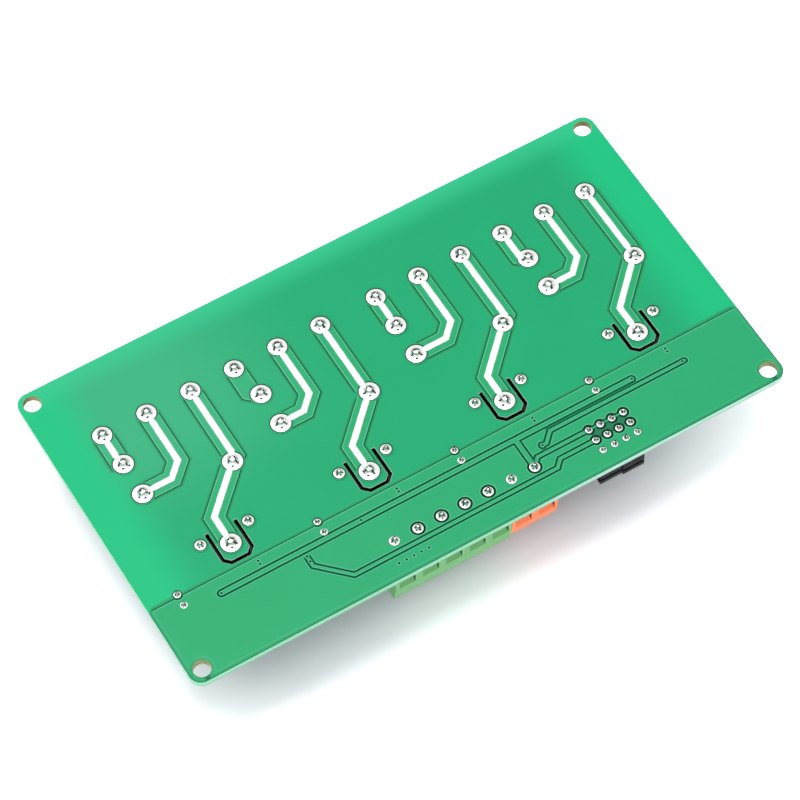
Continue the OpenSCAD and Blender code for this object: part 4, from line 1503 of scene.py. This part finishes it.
@dataclass(frozen=True)
class JointKind:
    """One kind of solder joint.

    It has its CAD node, its tip's radius, its seed, how far it reaches over its pad, how far each one is
    turned at random and how dark its painted reflections are.
    """

    node: str
    tip_radius: float
    seed: int
    pad_over: float
    turn: float = 0.45
    dark: float = 1.0


@dataclass
class SolderJoints:
    """All solder joints, with painted dark reflections on the solder and the collars of mask round their
    pads.
    """

    tip: float = 0.15 * MM
    near_side: float = math.radians(241)
    steps: int = 36
    clearance: float = 0.9 * MM
    large_radius: float = 1.5 * MM
    slim_radius: float = 1.0 * MM
    blunt: tuple[float, float] = (0.55, 0.99)
    # how the painted dark reflections spread round each cone and how dark they are at the tip
    leg_spread: float = 26.0
    front_spread: float = 16.0
    far_from: float = 60.0
    far_over: float = 40.0
    tip_dark: float = 0.3
    far_tip_dark: float = 0.4

    KINDS = (
        JointKind("output_joints", 0.50 * MM, 3, 0.02 * MM),
        JointKind("contact_joints", 0.54 * MM, 5, 0.02 * MM),
        JointKind("coil_joints", 0.26 * MM, 8, 0.02 * MM, 0.5, 1.25),
        JointKind("led_joints", 0.20 * MM, 11, 0.0, 0.7, 1.8),
        JointKind("input_joints", 0.30 * MM, 13, -0.04 * MM, 0.6, 1.5),
        JointKind("header_joints", 0.22 * MM, 17, -0.08 * MM, 0.9, 1.8),
    )

    # share of the way from rim to tip, share of the height, darkness of the painted reflection on the far
    # side, darkness of two painted dark reflections, their angle from the near side in degrees, and darkness
    # in front
    CONE = (
        (0.0, -0.02, 0.0, 0.0, 70.0, 0.0),
        (0.0, 0.05, 0.0, 0.0, 70.0, 0.0),
        (0.05, 0.09, 0.0, 0.0, 70.0, 0.0),
        (0.22, 0.13, 0.0, 0.0, 70.0, 0.0),
        (0.38, 0.17, 0.0, 0.30, 68.0, 0.3),
        (0.48, 0.21, 0.0, 0.65, 66.0, 1.7),
        (0.58, 0.27, 0.0, 0.90, 63.0, 1.7),
        (0.70, 0.36, 0.0, 1.00, 60.0, 0.2),
        (0.82, 0.52, 0.2, 1.10, 60.0, 0.0),
        (0.91, 0.72, 0.5, 1.10, 64.0, 0.0),
        (0.97, 0.90, 0.8, 1.10, 74.0, 0.1),
        (1.0, 0.97, 1.0, 0.95, 88.0, 0.3),
    )
    # how far outside the pad each ring lies, its height and its edge value, for pads on open mask; the
    # negative values paint a dark outline of shade
    OUTLINE = (
        (-0.08, 0.05, -1.7), (0.04, 0.118, -1.7), (0.10, 0.113, -1.1), (0.17, 0.108, -0.5),
        (0.28, 0.104, -0.2), (0.42, 0.101, 0.0), (0.42, -0.01, 0.0), (-0.08, -0.01, -1.7),
    )
    # the same for small pads on open mask
    SLIM = (
        (-0.08, 0.05, -1.7), (0.04, 0.118, -1.7), (0.10, 0.113, -1.1), (0.16, 0.104, -0.4),
        (0.16, -0.01, -0.4), (-0.08, -0.01, -1.7),
    )
    # the same for pads that stand in an opening of the ground copper, where deep painted shade fills the gap
    RING = (
        (-0.08, 0.05, -2.0), (0.04, 0.06, -2.0), (0.16, 0.05, -1.8), (0.26, 0.04, -1.6), (0.34, 0.03, -1.5),
        (0.40, 0.02, -1.4), (0.40, -0.01, -1.4), (-0.08, -0.01, -2.0),
    )

    def build(self, finishes: Finishes, placer: Placer) -> list[Spot]:
        """Replaces the joints by uneven solder cones round their leads.

        Args:
            finishes: the board's materials.
            placer: the placing tools.

        Returns:
            The large joints.
        """
        large: list[Spot] = []
        ground = [place for route in Outline("ground_plane").loops for place in route]
        for kind in self.KINDS:
            spots = spots_of(kind.node)
            radius, top = spots[0].radius, spots[0].top
            points = [spot.centre for spot in spots]
            if radius > self.large_radius:
                large.extend(spots)
            placer.place(
                kind.node.replace("joints", "solder"), points, self._cone(kind, radius, top + self.tip),
                finishes[Finish.SOLDER], "solder", [kind.node],
                Turn=kind.turn, Uneven=0.24 * MM, Lumps=1100.0, Rest=0.12 * MM, Seed=kind.seed,
            )
            ringed = [point for point in points if self._in_clearance(point, radius, ground)]
            plain = [point for point in points if point not in ringed]
            outline = self.OUTLINE if radius > self.slim_radius else self.SLIM
            for label, places, table in (("rings", ringed, self.RING), ("outlines", plain, outline)):
                if places:
                    placer.place(
                        f"{kind.node}_{label}", places, collar(radius + kind.pad_over, table, self.steps),
                        finishes[Finish.COPPER_MASK], "masked_copper", Seed=kind.seed,
                    )
        return large

    def _in_clearance(self, centre: Vector, radius: float, ground: Sequence[Vector]) -> bool:
        """Says whether a joint stands in an opening of the ground copper.

        Args:
            centre: the joint's centre.
            radius: its pad's radius.
            ground: the corners of the ground copper's outline.

        Returns:
            Whether the opening's rim runs close round the pad.
        """
        rim = [place for place in ground if (place.xy - centre.xy).length < radius + self.clearance]
        return len(rim) > 5 and max(place.y for place in rim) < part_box("ground_plane")[1].y - 0.1 * MM

    def _cone(self, kind: JointKind, radius: float, top: float) -> Mesh:
        """Shapes one joint: a flat skirt that climbs steeply to a small tip, with painted dark reflections.

        Args:
            kind: the kind of joint.
            radius: the pad's radius.
            top: the joint's height.

        Returns:
            The joint, round its own origin.
        """
        mesh = bmesh.new()
        layer = mesh.verts.layers.float.new(EDGE_LAYER)
        rim = radius + kind.pad_over
        rings = []
        for share, height, *darks in self.CONE:
            ring = add_ring(mesh, rim + (kind.tip_radius - rim) * share, top * height, self.steps)
            for vert in ring:
                vert[layer] = self._darkness(vert.co, *darks) * kind.dark
            rings.append(ring)
        width, height = self.blunt
        rings.append(add_ring(mesh, kind.tip_radius * width, top * height, self.steps))
        for vert in rings[-1]:
            vert[layer] = (self.tip_dark + self.far_tip_dark * self._far(self._away(vert.co))) * kind.dark
        for lower, upper in zip(rings, rings[1:]):
            add_band(mesh, lower, upper)
        tip = mesh.verts.new((0.0, 0.0, top))
        tip[layer] = self.tip_dark * kind.dark
        for first, second in zip(rings[-1], rings[-1][1:] + rings[-1][:1]):
            mesh.faces.new((first, second, tip))
        mesh.faces.new(list(reversed(rings[0])))
        return mesh

    def _away(self, place: Vector) -> float:
        """Gives how many degrees a place on a cone lies from the near side."""
        angle = math.atan2(place.y, place.x) - self.near_side
        return math.degrees(abs(math.remainder(angle, math.tau)))

    def _far(self, away: float) -> float:
        """Gives how much a place belongs to the far side, from 0 to 1."""
        return min(max((away - self.far_from) / self.far_over, 0.0), 1.0)

    def _darkness(self, place: Vector, far: float, leg: float, leg_angle: float, front: float) -> float:
        """Says how dark the painted reflection is at a place on a cone.

        Args:
            place: the place.
            far: the darkness of the ring's far side.
            leg: the darkness of its two creases.
            leg_angle: how far the creases lie from the near side, in degrees.
            front: the darkness of its near side.

        Returns:
            The edge value.
        """
        away = self._away(place)
        leg_share = max(0.0, 1.0 - abs(away - leg_angle) / self.leg_spread)
        front_share = max(0.0, 1.0 - away / self.front_spread)
        return max(far * self._far(away), leg * leg_share, front * front_share)


@dataclass
class SunkenLeads:
    """The leads and pins, cut short above the board so that the solder covers their ends."""

    cut: float = 0.16 * MM

    NODES = (
        *((f"relay_pins_{number}", Finish.LEAD, "tinned_metal") for number in range(1, 5)),
        ("input_pins", Finish.LEAD, "tinned_metal"),
        ("led_leads", Finish.LEAD, "tinned_metal"),
        ("header_pins", Finish.BRASS, "plated_brass"),
        ("contact_plates", Finish.BRASS, "plated_brass"),
    )

    def build(self, finishes: Finishes) -> None:
        """Replaces every node of leads.

        Args:
            finishes: the board's materials.
        """
        for node, finish, slot in self.NODES:
            mesh = node_mesh(node)
            for vert in mesh.verts:
                vert.co.z = min(vert.co.z, self.cut)
            make_piece(mesh, f"{node}_cut", slot, [finishes[finish]], [node], weighed=False)


@dataclass
class PlatedHoles:
    """The narrow plated rims of the holes that carry no lead."""

    steps: int = 16

    # how far outside the hole each ring lies, its height and its edge value, which paints deep shade inside
    # the hole and a highlight on its rim
    RIM = (
        (-0.01, -0.3, -2.5), (-0.01, 0.09, -2.5), (0.04, 0.125, 1.0), (0.14, 0.12, 1.0), (0.20, 0.06, 1.0),
        (0.20, -0.3, 0.0),
    )

    def build(self, finishes: Finishes, placer: Placer, holes: Sequence[Spot]) -> None:
        """Puts a raised rim round every hole.

        Args:
            finishes: the board's materials.
            placer: the placing tools.
            holes: the plated holes.
        """
        mesh = collar(holes[0].radius, self.RIM, self.steps)
        centres = [hole.centre for hole in holes]
        placer.place("plated_rims", centres, mesh, finishes[Finish.COPPER_MASK], "masked_copper", Seed=21)


# ---------- moulded parts and metal ----------


@dataclass(frozen=True)
class Softened:
    """A CAD node that is shown with eased edges, and with a second, darker finish that paints the shade in
    its recesses if it has any.
    """

    node: str
    width: float
    finish: Finish
    slot: str
    recess: Finish | None = None


class Fittings:
    """Every other part: relays, terminals, header, indicators and driver parts, with eased edges."""

    WALL = 1.0 * MM
    PARTS = (
        *(Softened(f"relay_{number}", 0.30 * MM, Finish.RELAY, "relay_case") for number in range(1, 5)),
        *(Softened(f"output_strip_{number}", 0.18 * MM, Finish.STRIP, "strip_plastic") for number in (1, 2)),
        *(
            Softened(f"input_block_{number}", 0.10 * MM, Finish.GREEN, "green_plastic", Finish.GREEN_RECESS_SHADE)
            for number in (1, 2)
        ),
        Softened("supply_block", 0.10 * MM, Finish.ORANGE, "orange_plastic", Finish.ORANGE_RECESS_SHADE),
        Softened("header_base", 0.10 * MM, Finish.BLACK, "black_plastic"),
        Softened("clamping_washers", 0.08 * MM, Finish.STEEL, "nickel_steel"),
        Softened("output_screws", 0.12 * MM, Finish.STEEL, "nickel_steel"),
        Softened("wire_cages", 0.06 * MM, Finish.STEEL, "nickel_steel"),
        Softened("cage_screws", 0.08 * MM, Finish.STEEL, "nickel_steel"),
        *(
            Softened(f"optocoupler_{number}", 0.06 * MM, Finish.EPOXY, "moulded_epoxy")
            for number in range(1, 5)
        ),
        Softened("transistors", 0.04 * MM, Finish.EPOXY, "moulded_epoxy"),
        Softened("diodes", 0.06 * MM, Finish.EPOXY, "moulded_epoxy"),
    )
    PLAIN = (
        ("jumper_clips", Finish.BRASS),
        ("optocoupler_legs", Finish.SOLDER),
        ("transistor_legs", Finish.SOLDER),
        ("diode_tabs", Finish.SOLDER),
        ("resistors", Finish.EPOXY),
        ("resistor_ends", Finish.SOLDER),
        *((f"led_{number}", Finish.LENS) for number in range(1, 5)),
    )

    def build(self, finishes: Finishes) -> None:
        """Shows each part with its finish.

        Args:
            finishes: the board's materials.
        """
        for part in self.PARTS:
            mesh = node_mesh(part.node)
            round_edges(mesh, part.width)
            materials = [finishes[part.finish]]
            if part.recess:
                materials.append(finishes[part.recess])
                self._shade_recesses(mesh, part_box(part.node)[0].x + self.WALL)
            make_piece(mesh, f"{part.node}_eased", part.slot, materials, [part.node])
        for node, finish in self.PLAIN:
            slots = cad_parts[node].data.materials
            slots.clear()
            slots.append(finishes[finish])
            LOG.info("node %s shown as it is", node)

    @staticmethod
    def _shade_recesses(mesh: Mesh, left: float) -> None:
        """Gives the right-hand walls inside a housing its second finish, which paints the shade on them.

        Args:
            mesh: the housing's working mesh.
            left: where the housing's inside begins.
        """
        mesh.normal_update()
        for face in mesh.faces:
            if face.normal.x < -0.7 and face.calc_center_median().x > left:
                face.material_index = 1


@dataclass
class JumperCaps:
    """The jumper caps, which sit close together in two pairs."""

    lean: float = 0.065 * MM
    trim: tuple[float, float] = (0.7 * MM, 0.3 * MM)
    foot: float = 0.5 * MM
    lift: float = 0.05 * MM
    groove_high: float = 1.5 * MM
    groove_y: tuple[float, float] = (0.12 * MM, 0.30 * MM)
    slack: float = 0.1 * MM
    edge_round: float = 0.06 * MM

    def build(self, finishes: Finishes) -> None:
        """Replaces each cap by one that touches its neighbour and shows its grip groove.

        Args:
            finishes: the board's materials.
        """
        materials = [finishes[finish] for finish in (Finish.BLACK, Finish.HIGHLIT_BLACK, Finish.GROOVE_SHADE)]
        for number in range(1, 5):
            node = f"jumper_cap_{number}"
            mesh = node_mesh(node)
            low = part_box(node)[0]
            inward = self.lean if number % 2 else -self.lean
            trim = self.trim[(number - 1) // 2]
            rise = trim + self.lift
            for vert in mesh.verts:
                above = vert.co.z - low.z
                vert.co.x += inward
                if above < self.foot:
                    vert.co.z = max(vert.co.z, low.z + trim)
                elif above < self.groove_high + self.slack:
                    vert.co.z += rise
            round_edges(mesh, self.edge_round)
            mesh.normal_update()
            for face in mesh.faces:
                middle = face.calc_center_median()
                above = middle.z - low.z - rise
                # the grip groove gets the painted shade, and the upper near face the painted highlight
                if self.groove_y[0] < middle.y - low.y < self.groove_y[1]:
                    face.material_index = 2
                elif face.normal.y < -0.7 and above > self.groove_high - self.slack:
                    face.material_index = 1
            make_piece(mesh, f"{node}_eased", "black_plastic", materials, [node])


# ---------- studio ----------


@dataclass
class Studio:
    """The floor, the lamps, the world and the camera."""

    eye: tuple[float, float, float] = (-0.18374, -0.33775, 0.60901)
    aim: tuple[float, float, float] = (-0.001573, -0.002576, 0.0)
    roll_deg: float = -2.51
    sensor: float = 36.0
    lens: float = 170.97
    shift: tuple[float, float] = (-0.0002, 0.0004)
    floor_size: float = 4.0
    paint: Colour = (0.86, 0.875, 0.90)
    # the floor's painted light: its added brightness near the board and beyond its near edge, and its glow in
    # both places
    lift: tuple[Colour, Colour] = ((0.72, 0.69, 0.72), (0.98, 0.94, 0.99))
    soft: tuple[Colour, Colour] = ((0.0, 0.01, 0.02), (0.12, 0.12, 0.13))
    near_edge: tuple[float, float] = (-26 * MM, -35 * MM)

    # where the floor's painted glow changes along X, and its colour past there, which lightens the shadow
    # beyond the board's ends
    SIDES = (((-42 * MM, -76 * MM), (0.33, 0.34, 0.35)), ((26 * MM, 72 * MM), (0.43, 0.45, 0.46)))
    # each lamp's name, its place, the length of its side and its power in watts
    LAMPS = (
        ("overhead_box", (-0.05, 0.14, 1.10), 0.50, 5.4),
        ("far_window", (-0.40, 0.80, 0.80), 0.70, 2.0),
        ("near_window", (-0.45, -0.75, 0.75), 0.80, 1.6),
    )

    def build(self) -> None:
        """Sets the stage."""
        self._camera()
        self._floor()
        self._world()
        for name, place, size, power in self.LAMPS:
            self._lamp(name, place, size, power)
        bpy.context.scene.view_settings.view_transform = "Standard"

    def _camera(self) -> None:
        """Puts the camera where the board is seen from its near left corner, from above."""
        camera = new_object("camera", bpy.data.cameras.new("camera"))
        camera.data.sensor_width = self.sensor
        camera.data.lens = self.lens
        camera.data.shift_x, camera.data.shift_y = self.shift
        camera.data.clip_start = 0.01
        camera.data.clip_end = 20.0
        way = Vector(self.aim) - Vector(self.eye)
        level = way.to_track_quat("-Z", "Y").to_matrix()
        roll = Matrix.Rotation(math.radians(self.roll_deg), 3, "Z")
        camera.matrix_world = Matrix.Translation(self.eye) @ (level @ roll).to_4x4()
        bpy.context.scene.camera = camera
        LOG.info("camera %.3f m from the board", way.length)

    def _floor(self) -> None:
        """Lays a pale floor that looks white and keeps the board's soft shadow, with painted light that
        depends on the place.
        """
        mesh = bmesh.new()
        bmesh.ops.create_grid(mesh, x_segments=1, y_segments=1, size=self.floor_size)
        bmesh.ops.translate(mesh, verts=mesh.verts, vec=(0.0, 0.0, CAD_BOX[0].z))
        data = bpy.data.meshes.new("floor")
        mesh.to_mesh(data)
        mesh.free()
        new_object("floor", data)
        material = bpy.data.materials.new("pale_floor")
        material.use_nodes = True
        material.node_tree.nodes.clear()
        wiring = Wiring(material.node_tree)
        paint = wiring.add("ShaderNodeBsdfDiffuse", {"Color": self.paint})[0]
        path = wiring.add("ShaderNodeLightPath")
        seen = wiring.math("MAXIMUM", path["Is Camera Ray"], path["Is Glossy Ray"])
        seen = wiring.math("MAXIMUM", seen, path["Is Transmission Ray"])
        place = wiring.add("ShaderNodeSeparateXYZ", {0: wiring.add("ShaderNodeTexCoord")["Object"]})
        outer = wiring.ramp(place["Y"], *self.near_edge)
        lift = wiring.add("ShaderNodeBsdfDiffuse", {"Color": wiring.blend(outer, *self.lift)})[0]
        tint = wiring.blend(outer, *self.soft)
        for limits, colour in self.SIDES:
            tint = wiring.blend(wiring.ramp(place["X"], *limits), tint, colour)
        soft = wiring.add("ShaderNodeEmission", {"Color": tint, "Strength": 1.0})[0]
        pale = wiring.add("ShaderNodeAddShader", {0: paint, 1: lift})[0]
        lit = wiring.add("ShaderNodeAddShader", {0: pale, 1: soft})[0]
        both = wiring.add("ShaderNodeMixShader", {0: seen, 1: paint, 2: lit})[0]
        wiring.add("ShaderNodeOutputMaterial", {0: both})
        data.materials.append(material)
        LOG.info("floor at %.4f m", CAD_BOX[0].z)

    @staticmethod
    def _world() -> None:
        """Fills the room with even light that gloss and the camera see as white."""
        world = bpy.data.worlds.new("room")
        bpy.context.scene.world = world
        world.use_nodes = True
        world.node_tree.nodes.clear()
        wiring = Wiring(world.node_tree)
        way = wiring.add("ShaderNodeTexCoord")["Generated"]
        up = wiring.add("ShaderNodeSeparateXYZ", {0: way})["Z"]
        white = (1.0, 1.0, 1.0)
        lights = (((0.95, 0.98, 1.0), 0.41), (white, wiring.ramp(up, -0.02, 0.34, 0.22)), (white, 1.0))
        fill, gloss, backdrop = (
            wiring.add("ShaderNodeBackground", {"Color": colour, "Strength": strength})[0]
            for colour, strength in lights
        )
        path = wiring.add("ShaderNodeLightPath")
        shiny = wiring.math("MAXIMUM", path["Is Glossy Ray"], path["Is Transmission Ray"])
        first = wiring.add("ShaderNodeMixShader", {0: shiny, 1: fill, 2: gloss})[0]
        both = wiring.add("ShaderNodeMixShader", {0: path["Is Camera Ray"], 1: first, 2: backdrop})[0]
        wiring.add("ShaderNodeOutputWorld", {0: both})
        LOG.info("world %s", world.name)

    @staticmethod
    def _lamp(name: str, place: tuple[float, float, float], size: float, power: float) -> None:
        """Hangs one square soft lamp that faces the board.

        Args:
            name: the lamp's name.
            place: where it hangs.
            size: the length of its side.
            power: its power in watts.
        """
        light = bpy.data.lights.new(name, "AREA")
        light.shape = "SQUARE"
        light.size = size
        light.energy = power
        lamp = new_object(name, light)
        lamp.location = place
        lamp.rotation_mode = "QUATERNION"
        lamp.rotation_quaternion = (-Vector(place)).to_track_quat("-Z", "Y")
        LOG.info("lamp %s, %.1f W", name, power)


def main() -> None:
    """Builds the board's looks and the studio."""
    logging.basicConfig(level=logging.INFO, format="%(name)s: %(message)s")
    effects = Effects()
    finishes = {finish: finish.value.build(effects) for finish in Finish}
    placer = Placer(placing_tree())
    Studio().build()
    vias, slots, holes = Panel().build(finishes)
    MaskRelief().build(finishes, slots, holes)
    large = SolderJoints().build(finishes, placer)
    TinnedStrips().build(finishes, large)
    PlatedHoles().build(finishes, placer, vias)
    SunkenLeads().build(finishes)
    Fittings().build(finishes)
    JumperCaps().build(finishes)


if __name__ == "__main__":
    main()
